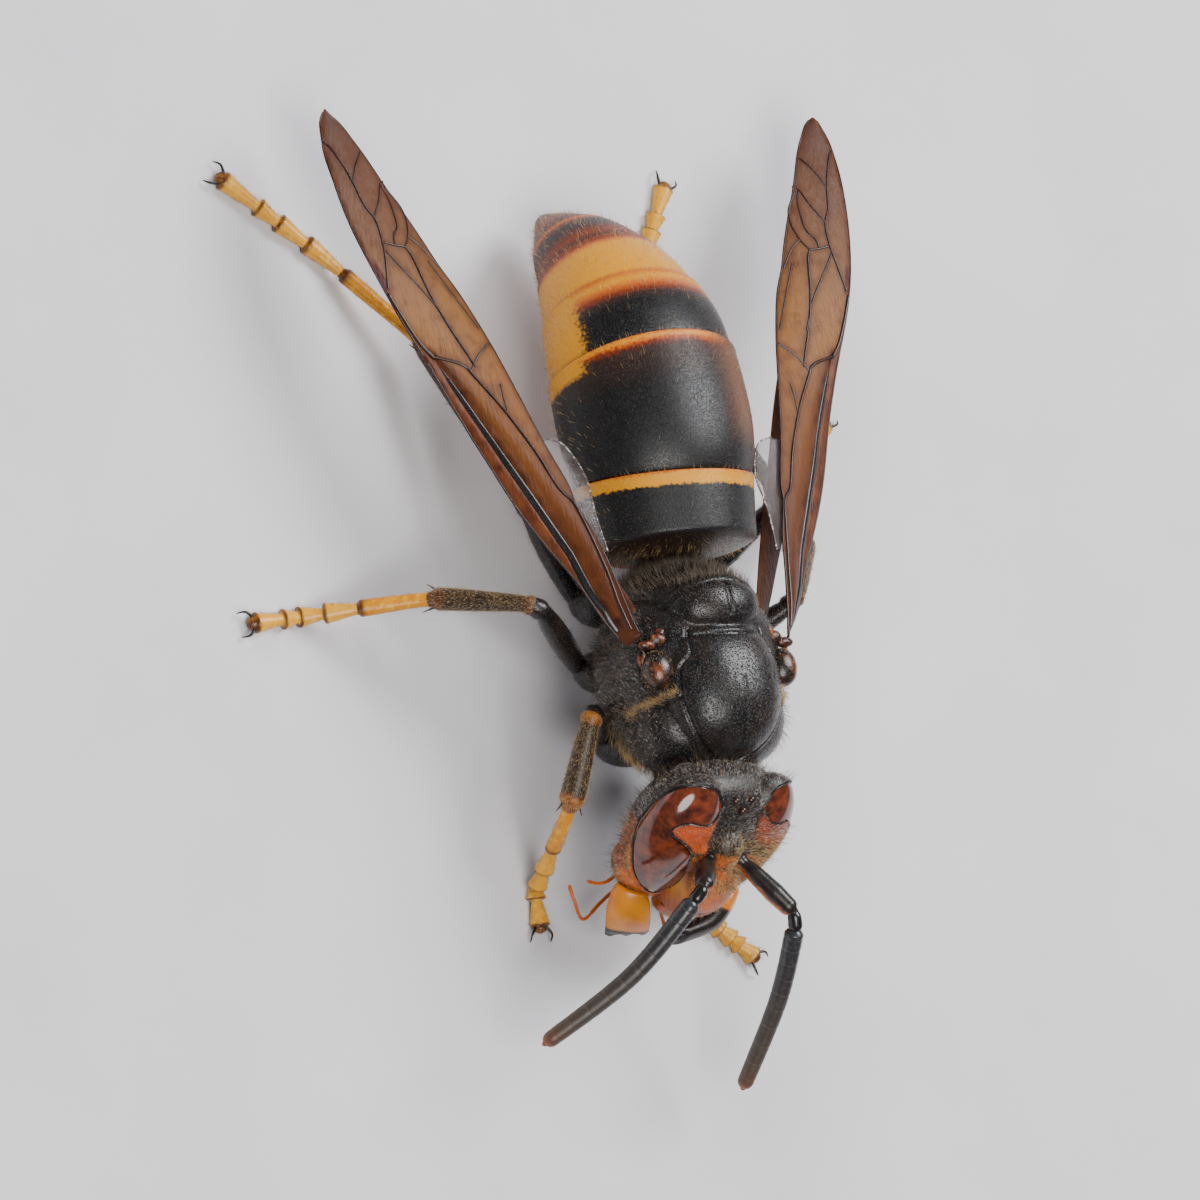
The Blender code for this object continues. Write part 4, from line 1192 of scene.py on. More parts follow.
def rim_directions(count, side):
    """Directions round the rim of an eye, set closely along a smooth closed line."""
    angles = spread(EYE_RIM)
    if side > 0:
        low = ease(25.0, 5.0, angles[:, 1]) * ease(-70.0, -20.0, angles[:, 0])
        high = 0.4 * ease(75.0, 50.0, angles[:, 1]) * ease(-50.0, 10.0, angles[:, 0])
        angles[:, 0] -= LEFT_EYE_TUCK * np.maximum(low, high)
    angles = np.radians(angles)
    loose = np.stack([np.cos(angles[:, 1]) * np.sin(angles[:, 0]),
                      -np.cos(angles[:, 1]) * np.cos(angles[:, 0]), np.sin(angles[:, 1])], axis=1)
    closed = np.concatenate([loose[-3:], loose, loose[:4]])
    line = through(closed, np.linspace(0.0, 1.0, 60 * len(closed)))
    line = line[60 * 3:60 * (len(closed) - 3)]
    return unit(even(line, count))


def spread_flat(directions):
    """Directions as places on a flat map round the middle of the eye, in radians."""
    centre = unit(spread((-0.62, -0.76, 0.12)))
    east = unit(np.cross((0.0, 0.0, 1.0), centre))
    north = np.cross(centre, east)
    angle = np.arccos(np.clip(directions @ centre, -1.0, 1.0))
    flat = np.stack([directions @ east, directions @ north], axis=1)
    return unit(flat) * angle[:, None]


def outside_rim(directions, side):
    """Distance from the rim of the eye on its flat map, below 0 inside it."""
    spots = spread_flat(directions)
    rim = spread_flat(rim_directions(160, side))
    nearest = np.full(len(spots), 1e9)
    inside = np.zeros(len(spots), dtype=bool)
    for start, end in zip(rim, np.roll(rim, -1, axis=0)):
        step = end - start
        share = np.clip((spots - start) @ step / max(step @ step, 1e-12), 0.0, 1.0)
        nearest = np.minimum(nearest, np.linalg.norm(spots - start - share[:, None] * step, axis=1))
        crosses = (start[1] > spots[:, 1]) != (end[1] > spots[:, 1])
        level = np.where(crosses, (spots[:, 1] - start[1]) / (step[1] if step[1] else 1.0), 0.0)
        inside ^= crosses & (spots[:, 0] < start[0] + level * step[0])
    return np.where(inside, -nearest, nearest)


def fit_round_eye(skin, side):
    """Raise the head's skin over the dome outside the rim, and sink it under the eye.

    Gives back how far each corner is from the rim, which is far on the other half of the head.
    """
    local = in_head(places(skin))
    near = np.where(local[:, 0] * side > -0.2)[0]
    reach, heading = in_dome(local[near], side)
    gap = outside_rim(heading, side)
    ridge = 0.012 + 0.03 * np.exp(-gap / 0.12)
    if side > 0:
        ridge += 0.10 * ease(0.0, 0.3, gap) * ease(0.3, 0.0, heading[:, 2])
    over = np.maximum(reach, 1.0 + ridge)
    under = np.minimum(reach, 0.9 + 0.1 * ease(-0.08, 0.0, gap))
    reach = np.where(gap > 0.0, over, under)
    local[near] = from_dome(heading, reach, side)
    put(skin, on_head(local))
    edge = np.zeros(len(local))
    # painted shade along the eye's edge, strongest above
    edge[near] = np.exp(-(gap / 0.035) ** 2) * (0.25 + 0.75 * ease(-1.4, 0.2, local[near, 2]))
    darken(skin, edge)
    beside = np.full(len(local), 9.0)
    beside[near] = gap
    return beside


def make_eye(name, side):
    """A dome that dives under the head's skin outside its rim, and the thin rim round it."""
    piece, u, v = sheet("eye_dome_" + name, 124, 92)
    turn = 2.0 * np.pi * u
    climb = np.pi * (v - 0.5)
    heading = np.stack([np.cos(climb) * np.sin(turn), -np.cos(climb) * np.cos(turn),
                        np.sin(climb)], axis=1)
    gap = outside_rim(heading, side)
    put(piece, on_head(from_dome(heading, 1.0 - 0.25 * ease(0.02, 0.15, gap), side)))
    # the rim mark: painted shade near the rim and over the part hidden under the skin
    mark(piece, "rim", np.exp(-(np.minimum(gap, 0.0) / 0.05) ** 2))
    close_up(piece)
    settle(piece, kept(eye_look), "eye", "eye_" + name)
    line = from_dome(rim_directions(220, side), np.full(220, 1.004), side)
    line = np.concatenate([line, line[:2]])
    radii = 0.014 + 0.014 * ease(-1.4, 0.2, line[:, 2])
    rim = tube("eye_rim_" + name, on_head(line), radii, sides=10, up=(0.3, 0.5, 0.8))
    settle(rim, kept(glossy_cuticle), "cuticle_black")


def head_skin():
    """Skull, face and cheeks grown into one skin, with its sutures and sockets.

    Gives back the skin, and how far each of its corners is from the nearer eye.
    """
    skin = fused("head_skin", [ball(*entry, turn=HEAD) for entry in HEAD_BALLS], voxel=0.04,
                 times=4)
    mark(skin, "groove", np.zeros(len(skin.data.vertices)))
    near_eye = np.minimum(*[fit_round_eye(skin, side) for side in (-1, 1)])
    for path in CLYPEUS_EDGES:
        line = on_skin(skin, on_head(even(path, 20)))
        # the clypeus's edges are sunk and marked with painted shade
        darken(skin, press(skin, line, depth=0.035, width=0.05))
    for side in (-1, 1):
        socket = on_head([socket_of(side)])
        press(skin, np.concatenate([socket, socket + 0.01]), depth=0.10, width=0.24)
        gap = np.linalg.norm(places(skin) - socket, axis=1)
        # painted shade round the socket
        darken(skin, ease(0.32, 0.24, gap))
    return skin, near_eye


def mark_head(skin, near_eye):
    """Mark where the head is orange, brighter beside the eyes, a yellow patch of painted light, and
    a pinkish painted sheen.
    """
    local = in_head(places(skin))
    face = (ease(0.40, 0.0, local[:, 2] + 0.2 * np.abs(local[:, 0]))
            * ease(0.5, -0.2, local[:, 1]))
    cheek = ease(0.7, 0.1, local[:, 2]) * ease(1.7, 2.1, np.abs(local[:, 0]))
    sinus = (ease(0.45, 0.32, near_eye) * ease(-0.1, 0.25, local[:, 2])
             * ease(1.35, 1.15, local[:, 2]) * ease(-0.5, -0.8, local[:, 1])
             * ease(0.75, 0.95, np.abs(local[:, 0])))
    sinus *= np.where(local[:, 0] > 0.0, 0.45, 1.0)
    mark(skin, "sinus", sinus)
    mark(skin, "orange", np.maximum(np.maximum(0.75 * face, 0.5 * cheek), sinus))
    # painted light: a brighter yellow patch on the right side of the clypeus, where the skin lies
    # in shade
    flank = np.linalg.norm(local * (-1.0, 1.0, 1.0) - (1.1, -1.15, -1.2), axis=1)
    mark(skin, "yellow", ease(0.45, 0.2, flank))
    # painted sheen: pinkish along the lower rim of the clypeus
    mark(skin, "pink_sheen", ease(-1.75, -2.0, local[:, 2]) * ease(-0.2, -0.6, local[:, 1])
         * ease(1.2, 0.9, np.abs(local[:, 0])))


def bare(spots):
    """How likely a hair is in the head's frame, which is none on eyes, ocelli and sockets."""
    clear = ease(0.16, 0.26, np.linalg.norm(spots - OCELLI[0], axis=1))
    for side in (-1, 1):
        gap = outside_rim(in_dome(spots, side)[1], side)
        clear *= np.where(spots[:, 0] * side > -0.2, ease(0.0, 0.05, gap), 1.0)
        clear *= ease(0.26, 0.36, np.linalg.norm(spots - socket_of(side), axis=1))
    return clear * (1.0 - 0.9 * ease(-1.0, -1.3, spots[:, 2]) * ease(0.0, -0.4, spots[:, 1]))


def off_eyes(where, facing):
    """How likely the long hairs of the head are."""
    return bare(in_head(where))


def on_face(where, facing):
    """How likely the golden hairs of the head are, which are for the face."""
    spots = in_head(where)
    return bare(spots) * (0.04 + ease(0.9, -0.1, spots[:, 2]) * ease(0.2, -0.5, spots[:, 1]))


def off_face(where, facing):
    """How likely the silver hairs of the head are, which leave out the face and the cheeks."""
    spots = in_head(where)
    cheeks = ease(1.4, 1.8, np.abs(spots[:, 0])) * ease(0.9, 0.3, spots[:, 2])
    return (bare(spots) * (1.0 - 0.75 * cheeks) * ease(1.0, 0.1, spots[:, 1])
            * (1.0 - 0.4 * ease(0.8, 1.2, spots[:, 2]))
            * (1.04 - ease(1.0, 0.0, spots[:, 2]) * ease(0.2, -0.5, spots[:, 1])))


def short_above(where, facing):
    """Length of the silver hairs, which are short on top of the head."""
    return 0.12 - 0.06 * ease(0.5, 1.1, in_head(where)[:, 2])


def from_face(where, facing):
    """Away from the middle of the face."""
    return where - on_head([FACE_MIDDLE])[0]


def make_palp(name):
    """A thin feeler of five joints beside the mouth."""
    shares = np.linspace(0.0, 1.0, 80)
    radii = np.interp(shares, (0, 0.3, 0.7, 0.92, 0.98, 1),
                      (0.07, 0.06, 0.055, 0.065, 0.045, 0.01))
    joint = (shares * 5.0) % 1.0
    radii = radii * (1.0 - 0.35 * ease(0.82, 0.97, joint)) * (0.85 + 0.15 * joint)
    feeler = tube("palp_" + name, on_head(through(PALPS[name], shares)), radii, sides=14)
    settle(feeler, kept(orange_cuticle), "cuticle_orange")


def make_head():
    """The head with its eyes, coats, jaws, antennae and palps."""
    skin, near_eye = head_skin()
    mark_head(skin, near_eye)
    for name, side in SIDES:
        make_eye(name, side)
    ocelli = [ball(place, (0.13, 0.13, 0.13), turn=HEAD, segments=24, rings=16)
              for place in OCELLI]
    settle(joined("ocelli", ocelli), kept(ocellus_look), "cuticle_black")
    grow("head_silver", skin, silver_hair, "cuticle_black", count=8200, length=short_above,
         thickness=0.0085, lie=from_face, stand=38.0, seed=21, keep=off_face)
    grow("head_gold", skin, golden_hair, "cuticle_black", count=7600, length=0.13,
         thickness=0.0085, lie=from_face, stand=38.0, seed=22, keep=on_face)
    grow("head_hair", skin, brown_hair, "cuticle_black", count=2200, length=0.36,
         thickness=0.0085, lie=from_face, stand=72.0, seed=23, keep=off_eyes)
    settle(skin, kept(head_look), "cuticle_black", "head")
    for name, side in SIDES:
        make_jaw(name, side)
        make_antenna(name, side)
    for name in PALPS:
        make_palp(name)


def ocellus_look(name):
    """Dark glassy bead."""
    look = Look(name, 0.08, IOR=1.5)
    look.colour(look.ramp(look.noise(0.2), ((0.3, (0.010, 0.005, 0.004)),
                                            (0.8, (0.06, 0.02, 0.01)))))
    return look.material


def make_jaw(name, side):
    """A rounded plate that widens to a toothed edge."""
    outer, inner = MANDIBLES[name]
    piece, u, v = sheet("jaw_" + name, 72, 72)
    share = 1.0 - (1.0 - v) ** 1.5
    start = through(outer, share)
    end = through(inner, share)
    angle = 2.0 * np.pi * u
    across = np.sign(np.cos(angle)) * np.abs(np.cos(angle)) ** 0.8
    down = unit(through(outer, np.minimum(share + 0.05, 1.0))
                - through(outer, np.maximum(share - 0.05, 0.0)))
    facing = unit(np.cross(end - start, down)) * side
    width = blend(((0.0, 0.5), (0.06, 0.86), (0.25, 1.0), (1.0, 1.0)), share)
    depth = blend(((0.0, 0.12), (0.12, 0.36), (0.5, 0.34), (0.85, 0.2), (0.97, 0.07),
                   (1.0, 0.03)), share)
    bow = 0.16 * np.sin(np.pi * share)
    bite = 0.5 + 0.5 * np.sin((across + 0.2) * 8.5)
    points = ((start + end) / 2.0 + (end - start) / 2.0 * (across * width)[:, None]
              + facing * (np.sin(angle) * depth + bow)[:, None]
              + down * (0.11 * bite * ease(0.9, 1.0, share))[:, None])
    put(piece, on_head(points))
    lay_map(piece, "UVMap", u, share)
    # on the left jaw the dark cutting edge reaches over most of the plate: partly its black edge,
    # partly painted shade where this jaw lies in shadow
    mark(piece, "along", share if side < 0 else 1.0 - (1.0 - share) ** 4)
    close_up(piece)
    settle(piece, kept(jaw_look), "cuticle_orange", "mandible_" + name)


def jaw_look(name):
    """Amber plate with a dark joint and a black cutting edge."""
    look = Look(name, 0.3, IOR=1.52)
    along = look.reads("along")
    tone = look.noise(0.9, 2.0)
    warm = look.ramp(tone, ((0.3, (0.50, 0.12, 0.0)), (0.7, (0.72, 0.25, 0.0))))
    dark = (0.012, 0.007, 0.006)
    edge = look.shifted(along, tone, 0.08)
    base = look.mixed(look.between(edge, 0.77, 0.84), warm, dark)
    look.colour(look.mixed(look.between(edge, 0.09, 0.03), base, dark))
    look.worn(0.06, 3.0, 0.24, 0.42)
    look.raise_by(look.noise(0.05, 3.0), 0.004, 0.5)
    return look.material


def feeler_look(name):
    """Black-grey feeler, browner towards a red tip, with thin paler joints; its bluish grey near
    the base is partly a painted sheen.
    """
    look = Look(name, 0.36, IOR=1.5)
    along = look.reads("along")
    ring = look.maths("FRACT", look.maths("MULTIPLY", along, float(FLAGELLUM_RINGS)))
    joint = look.maths("ADD", look.between(ring, 0.05, 0.0), look.between(ring, 0.96, 1.0))
    # the bluish grey near the base: partly its own colour, partly a painted sheen
    base = look.ramp(along, ((0.0, (0.022, 0.024, 0.030)), (0.35, (0.020, 0.019, 0.020)),
                             (0.8, (0.05, 0.036, 0.026)), (0.94, (0.09, 0.04, 0.02)),
                             (1.0, (0.26, 0.06, 0.012))))
    base = look.mixed(look.between(look.noise(0.12, 4.0), 0.45, 0.75, 0.0, 0.5), base,
                      (0.075, 0.065, 0.06))
    look.colour(look.mixed(look.maths("MULTIPLY", joint, 0.3), base, (0.16, 0.12, 0.09)))
    look.rough(look.between(along, 0.0, 0.6, 0.22, 0.42))
    look.raise_by(look.noise(0.03, 3.0), 0.003, 0.5)
    return look.material


def scape_look(name):
    """Glossy black feeler base, orange along its underside."""
    look = Look(name, 0.3, IOR=1.5)
    tone = look.noise(0.3, 3.0)
    black = look.ramp(tone, ((0.35, tint("black")), (0.8, (0.024, 0.013, 0.010))))
    warm = look.ramp(tone, ((0.3, tint("orange", 0.5)),
                            (0.7, tint("orange"))))
    edge = look.shifted(look.reads("around"), tone, 0.3)
    look.colour(look.mixed(look.between(edge, 0.27, 0.19), black, warm))
    look.raise_by(look.noise(0.03, 3.0), 0.003, 0.5)
    return look.material


def make_antenna(name, side):
    """A scape, a short bent pedicel and a flagellum of rings."""
    socket = on_head([socket_of(side)])[0]
    elbow, middle, tip = (spread(point) for point in ANTENNAE[name])
    reach = unit(elbow - socket)
    shares = np.linspace(0.0, 1.0, 60)
    radii = np.interp(shares, (0.0, 0.04, 0.08, 0.12, 0.3, 0.65, 0.92, 0.97, 1.0),
                      (0.2, 0.22, 0.18, 0.18, 0.26, 0.30, 0.27, 0.22, 0.15))
    scape = tube("scape_" + name, socket + (elbow - socket) * shares[:, None], radii, sides=32,
                 up=(side * 0.825, -0.137, 0.548))
    grow("scape_hair_" + name, scape, brown_hair, "cuticle_brown", count=700, length=0.06,
         thickness=0.006, lie=reach, stand=25.0, seed=31)
    settle(scape, kept(scape_look), "cuticle_brown", "antenna_scape_" + name)

    bend = unit(middle - elbow)
    start = elbow + reach * 0.16 + bend * 0.42
    shares = np.linspace(0.0, 1.0, FLAGELLUM_RINGS * 12 + 1)
    ring = (shares * FLAGELLUM_RINGS) % 1.0
    swell = 0.98 + 0.02 * ease(0.0, 0.15, ring) - 0.02 * ease(0.94, 1.0, ring)
    radii = FLAGELLUM_RADIUS * (1.0 - 0.18 * shares ** 2) * swell
    radii[-10:] *= np.sqrt(1.0 - np.linspace(0.0, 0.93, 10) ** 2)
    radii[:8] *= np.interp(np.arange(8), (0, 3, 7), (0.55, 0.8, 1.0))
    flagellum = tube("flagellum_" + name, through((start, middle, tip), shares), radii,
                     sides=32)
    grow("flagellum_down_" + name, flagellum, brown_hair, "cuticle_brown", count=1900,
         length=0.04, thickness=0.005, lie=bend, stand=30.0, seed=32)
    settle(flagellum, kept(feeler_look), "cuticle_brown", "antenna_flagellum_" + name)

    shares = np.linspace(0.0, 1.0, 16)
    joint = (elbow - reach * 0.06, elbow + reach * 0.07 + bend * 0.12,
             elbow + reach * 0.14 + bend * 0.3, start + bend * 0.06)
    pedicel = tube("pedicel_" + name, through(joint, shares),
                   np.interp(shares, (0, 0.3, 0.75, 1), (0.12, 0.2, 0.21, 0.15)), sides=24)
    settle(pedicel, kept(glossy_cuticle), "cuticle_brown")


# Wings

def wing_place(side, share, chord, drop=0.0, inset=0.0, raised=0.0):
    """A place on a wing: share along it, chord in mm from its spine, raised out of its plane."""
    share = spread(share)
    root = spread(WING_ROOT)
    span = spread(WING_TIP) - root
    along = unit(span)
    fall = np.radians(blend(BLADE_FALL, share))
    outwards = np.stack([np.cos(fall), np.zeros_like(fall), -np.sin(fall)], axis=-1)
    outwards = unit(outwards - along * (outwards @ along)[..., None])
    upwards = unit(np.cross(outwards, along))
    half = blend(FOREWING_HALF, share)
    bow = WING_BOW * np.sin(np.pi * share * 0.9)
    lift = raised - drop - 0.1 * (chord / half) ** 2
    points = (root + span * share[..., None] + outwards * (chord - inset + bow)[..., None]
              + upwards * lift[..., None])
    return points * (side, 1.0, 1.0)


def membrane_look(name):
    """Amber wing skin, red along its folded outer part and brownish grey at its tip."""
    look = Look(name, 0.3, IOR=1.22, Alpha=0.93)
    along = look.across_along()[1]
    wave = look.noise(0.5, 4.0)
    tone = look.ramp(along, ((0.0, (0.04, 0.011, 0.006)), (0.15, (0.10, 0.030, 0.010)),
                             (0.38, (0.20, 0.070, 0.016)),
                             (0.62, (0.23, 0.095, 0.026)), (0.8, (0.14, 0.060, 0.030)),
                             (1.0, (0.075, 0.036, 0.026))))
    tone = look.mixed(look.between(wave, 0.42, 0.7, 0.0, 0.55), tone, (0.085, 0.026, 0.009))
    tone = look.mixed(look.reads("red"), tone,
                      look.ramp(wave, ((0.35, (0.035, 0.009, 0.004)), (0.7, (0.12, 0.036, 0.012)))))
    tone = look.mixed(look.reads("costal"), tone,
                      look.ramp(wave, ((0.3, (0.05, 0.012, 0.005)), (0.65, (0.15, 0.042, 0.014)))))
    tone = look.mixed(look.maths("MULTIPLY", look.reads("beside_vein"), 0.6), tone,
                      (0.055, 0.018, 0.008))
    look.colour(look.mixed(look.reads("stigma"), tone, (0.06, 0.008, 0.005)))
    wrinkles = look.add("ShaderNodeMapping", None, {
        "Vector": look.place, "Rotation": (0.0, 0.0, 0.35), "Scale": (1.0, 0.22, 1.0)})
    look.raise_by(look.noise(0.09, 4.0, 0.6, wrinkles), 0.03, 0.8)
    look.raise_by(look.noise(0.03, 2.0), 0.002, 0.5)
    return look.material


def vein_look(name):
    """Nearly black, red-brown in places."""
    look = Look(name, 0.25, IOR=1.5)
    look.colour(look.ramp(look.noise(0.4, 2.0), ((0.3, (0.008, 0.004, 0.003)),
                                                 (0.8, (0.05, 0.012, 0.005)))))
    look.raise_by(look.noise(0.04, 2.0), 0.003, 0.5)
    return look.material


def lobe_look(name):
    """Clear, slightly smoky skin of the small lobe behind the wing's root."""
    look = Look(name, 0.15, IOR=1.4, Alpha=0.3)
    look.colour(look.ramp(look.noise(0.3), ((0.3, (0.08, 0.06, 0.055)), (0.8, (0.2, 0.17, 0.17)))))
    look.raise_by(look.noise(0.1, 3.0), 0.01, 0.5)
    return look.material


def lobe_rim_look(name):
    """Dark line with pale beads."""
    look = Look(name, 0.35)
    look.colour(look.ramp(look.cells(0.09), ((0.2, (0.75, 0.72, 0.72)), (0.5, (0.10, 0.07, 0.07)))))
    return look.material


def vein_chord(path, share):
    """Chord in mm of a vein where it crosses a share of the wing."""
    path = spread(path)
    order = np.argsort(path[:, 0])
    return np.interp(share, path[order, 0], path[order, 1]) * blend(FOREWING_HALF, share)


def thickened(piece, amount):
    """Give a sheet a thickness, half on each side."""
    wall = piece.modifiers.new("Solidify", "SOLIDIFY")
    wall.thickness = amount
    wall.offset = 0.0
    apply_all(piece)


def vein_tubes(side, routes):
    """The veins of a forewing and the two veins along its margins."""
    tubes = [tube("vein", route, np.full(len(route), radius * VEIN_SIZE), sides=10)
             for radius, route in routes]
    shares = np.linspace(0.01, 0.995, 160)
    for edge in (FOREWING_OUTER, FOREWING_INNER):
        route = wing_place(side, shares, flowing(edge, shares))
        tubes.append(tube("vein", route, np.full(len(shares), 0.03), sides=10))
    return tubes


def make_forewing(name, side):
    """The membrane, sunk along the fold and marked for its colours, with its veins."""
    piece, u, v = sheet("forewing_blade_" + name, 38, 184)
    share = 1.0 - (1.0 - v) ** 1.35
    outer = flowing(FOREWING_OUTER, share)
    inner = flowing(FOREWING_INNER, share)
    chord = inner + (outer - inner) * u
    fold = chord - vein_chord(FOLD, share)
    band = chord - vein_chord(BAND, share)
    folded = ease(0.585, 0.55, share)
    groove = np.exp(-(fold / 0.1) ** 2) * folded
    swell = 0.03 * np.sin(np.clip(band / 0.5, 0.0, 1.0) * np.pi) * folded
    put(piece, wing_place(side, share, chord, 0.07 * groove - swell))
    lay_map(piece, "UVMap", u, share)
    routes = []
    beside = np.minimum(outer - chord, chord - inner)
    for radius, path in VEINS:
        line = through(path, np.linspace(0.0, 1.0, 10 * len(path)))
        chords = line[:, 1] * blend(FOREWING_HALF, line[:, 0])
        route = wing_place(side, line[:, 0], chords, raised=0.012)
        routes.append((radius, route))
        beside = np.minimum(beside, apart_from(places(piece), route[::3]))
    mark(piece, "beside_vein", np.exp(-(beside / 0.14) ** 2))
    mark(piece, "costal", np.maximum(ease(0.0, 0.06, fold) * folded,
                                     ease(0.16, 0.1, outer - chord) * ease(0.73, 0.77, share)))
    mark(piece, "red", ease(-0.04, 0.04, band) * folded * (0.3 + 0.7 * ease(-0.55, -0.1, fold)))
    mark(piece, "stigma", ease(0.24, 0.18, outer - chord) * ease(0.67, 0.69, share)
         * ease(0.745, 0.725, share))
    thickened(piece, MEMBRANE)
    settle(piece, kept(membrane_look), "wing", "forewing_" + name)
    settle(joined("forewing_veins_" + name, vein_tubes(side, routes)), kept(vein_look), "wing")


def make_fold(name, side):
    """The black strip along which a forewing is folded."""
    shares = np.linspace(0.03, 0.565, 150)
    chord = vein_chord(FOLD, shares)
    route = wing_place(side, shares, chord, 0.03)
    up = wing_place(side, shares[:1], chord[:1], raised=1.0)[0] - route[0]
    width = blend(((0.0, 0.08), (0.1, 0.13), (0.3, 0.13), (0.45, 0.10), (0.565, 0.02)), shares)
    strip = tube("forewing_fold_" + name, route, np.stack([width * 0.35, width], axis=1), up=up)
    settle(strip, kept(glossy_cuticle), "wing")


def make_lobe(name, side):
    """The clear lobe at the inner edge of a forewing, and its beaded rim."""
    lobe, u, v = sheet("wing_lobe_" + name, 20, 60)
    marks, chords = (spread(column) for column in zip(*LOBE_RIM))
    share = marks[0] + (marks[-1] - marks[0]) * v
    rim = np.interp(share, marks, chords)
    inner = flowing(FOREWING_INNER, share) + 0.12
    put(lobe, wing_place(side, share, inner + (np.minimum(rim, inner) - inner) * u, LOBE_DROP))
    thickened(lobe, MEMBRANE / 2.0)
    settle(lobe, kept(lobe_look), "wing")
    line = through(LOBE_RIM, np.linspace(0.0, 1.0, 90))
    edge = tube("wing_lobe_rim_" + name, wing_place(side, line[:, 0], line[:, 1], LOBE_DROP),
                np.full(len(line), 0.025), sides=10)
    settle(edge, kept(lobe_rim_look), "wing")


def make_hindwing(name, side):
    """The smaller wing under the forewing."""
    hind, u, v = sheet("hindwing_blade_" + name, 24, 90)
    half = flowing(HINDWING_HALF, v) * 0.85
    chord = (2.0 * u - 1.0) * half * np.sqrt(1.0 - np.clip((v - 0.9) / 0.1, 0.0, 1.0) ** 2 * 0.97)
    put(hind, wing_place(side, v * HINDWING_REACH, chord, HINDWING_DROP, HINDWING_INSET))
    lay_map(hind, "UVMap", u, v * HINDWING_REACH)
    mark(hind, "red", np.full(len(u), 0.7))
    thickened(hind, MEMBRANE)
    settle(hind, kept(membrane_look), "wing", "hindwing_" + name)


# Legs

def softened(points, bend):
    """Split a route at its joints, each corner shared out between the two lengths it joins."""
    points = spread(points)
    lengths = [[points[0]]]
    for before, joint, after in zip(points, points[1:], points[2:]):
        enter = joint + unit(before - joint) * min(bend, np.linalg.norm(before - joint) / 2.2)
        leave = joint + unit(after - joint) * min(bend, np.linalg.norm(after - joint) / 2.2)
        corner = [(1 - step)**2 * enter + 2 * step * (1 - step) * joint + step**2 * leave
                  for step in np.linspace(0.0, 1.0, 9)]
        lengths[-1].extend(corner[:5])
        lengths.append(corner[4:])
    lengths[-1].append(points[-1])
    return lengths


def shin_look(name):
    """Dark tibia under golden down, orange-brown at its far end and at the knee."""
    look = Look(name, 0.44, IOR=1.45)
    along = look.reads("along")
    tone = look.noise(0.2, 4.0)
    base = look.ramp(tone, ((0.3, (0.010, 0.006, 0.005)), (0.75, (0.05, 0.026, 0.012))))
    end = look.ramp(tone, ((0.3, (0.12, 0.030, 0.008)), (0.7, (0.42, 0.14, 0.014))))
    end = look.mixed(look.reads("warm"), (0.05, 0.016, 0.007), end)
    edge = look.shifted(along, tone, 0.15)
    base = look.mixed(look.between(edge, 0.84, 0.93), base, end)
    look.colour(look.mixed(look.between(edge, 0.13, 0.06), base, end))
    look.raise_by(look.noise(0.04, 3.0), 0.006, 0.6)
    return look.material


def toe_look(name):
    """Yellow tarsus with a brown ring at the end of each joint and black claws."""
    look = Look(name, 0.32, IOR=1.5)
    tone = look.noise(0.2, 4.0)
    base = look.ramp(tone, ((0.3, (0.55, 0.17, 0.0)), (0.55, tint("yellow")),
                            (0.8, (0.86, 0.50, 0.05))))
    base = look.mixed(look.between(look.reads("along"), 0.38, 0.42, 0.0, 0.4), base,
                      (0.84, 0.46, 0.05))
    ring = look.maths("MULTIPLY", look.reads("ring"), look.between(tone, 0.2, 0.6, 0.6, 1.0))
    base = look.mixed(ring, base, (0.075, 0.018, 0.004))
    look.colour(look.mixed(look.reads("claw"), base, (0.010, 0.006, 0.005)))
    look.worn(0.05, 3.0, 0.25, 0.42)
    look.raise_by(look.noise(0.04, 3.0), 0.005, 0.5)
    return look.material


TOE_CUTS = (0.0, 0.4, 0.58, 0.72, 0.82, 1.0)    # ends of the five joints along a tarsus
TOE_RADIUS = 0.262
FLOOR_GAP = 0.005       # how far over the floor the lowest corner of a foot stays
LEG_SHARES = np.linspace(0.0, 1.0, 60)


def make_thigh(place, route):
    """The thigh with its hip."""
    root, trochanter, knee = LEGS[place][:3]
    radii = np.interp(LEG_SHARES, (0.0, 0.12, 0.3, 0.5, 0.7, 0.84, 0.9, 0.95, 1.0),
                      (0.23, 0.285, 0.34, 0.36, 0.33, 0.28, 0.25, 0.31, 0.28))
    thigh = tube("thigh_" + place, even(route, 60), radii, sides=28)
    axis = Vector(trochanter) - Vector(root)
    turn = Vector((0.0, 0.0, 1.0)).rotation_difference(axis).to_matrix().to_4x4()
    middle = (Vector(trochanter) + Vector(root)) / 2.0
    hip = ball((0.0, 0.0, 0.0), (0.62, 0.62, axis.length / 2.0 + 0.2),
               turn=Matrix.Translation(middle) @ turn)
    thigh = joined("thigh_" + place, [thigh, hip])
    grow("thigh_hair_" + place, thigh, brown_hair, "cuticle_black", count=900, length=0.15,
         thickness=0.008, lie=unit(spread(knee) - trochanter), stand=38.0, seed=100)
    settle(thigh, kept(black_cuticle), "cuticle_black", "femur_" + place)


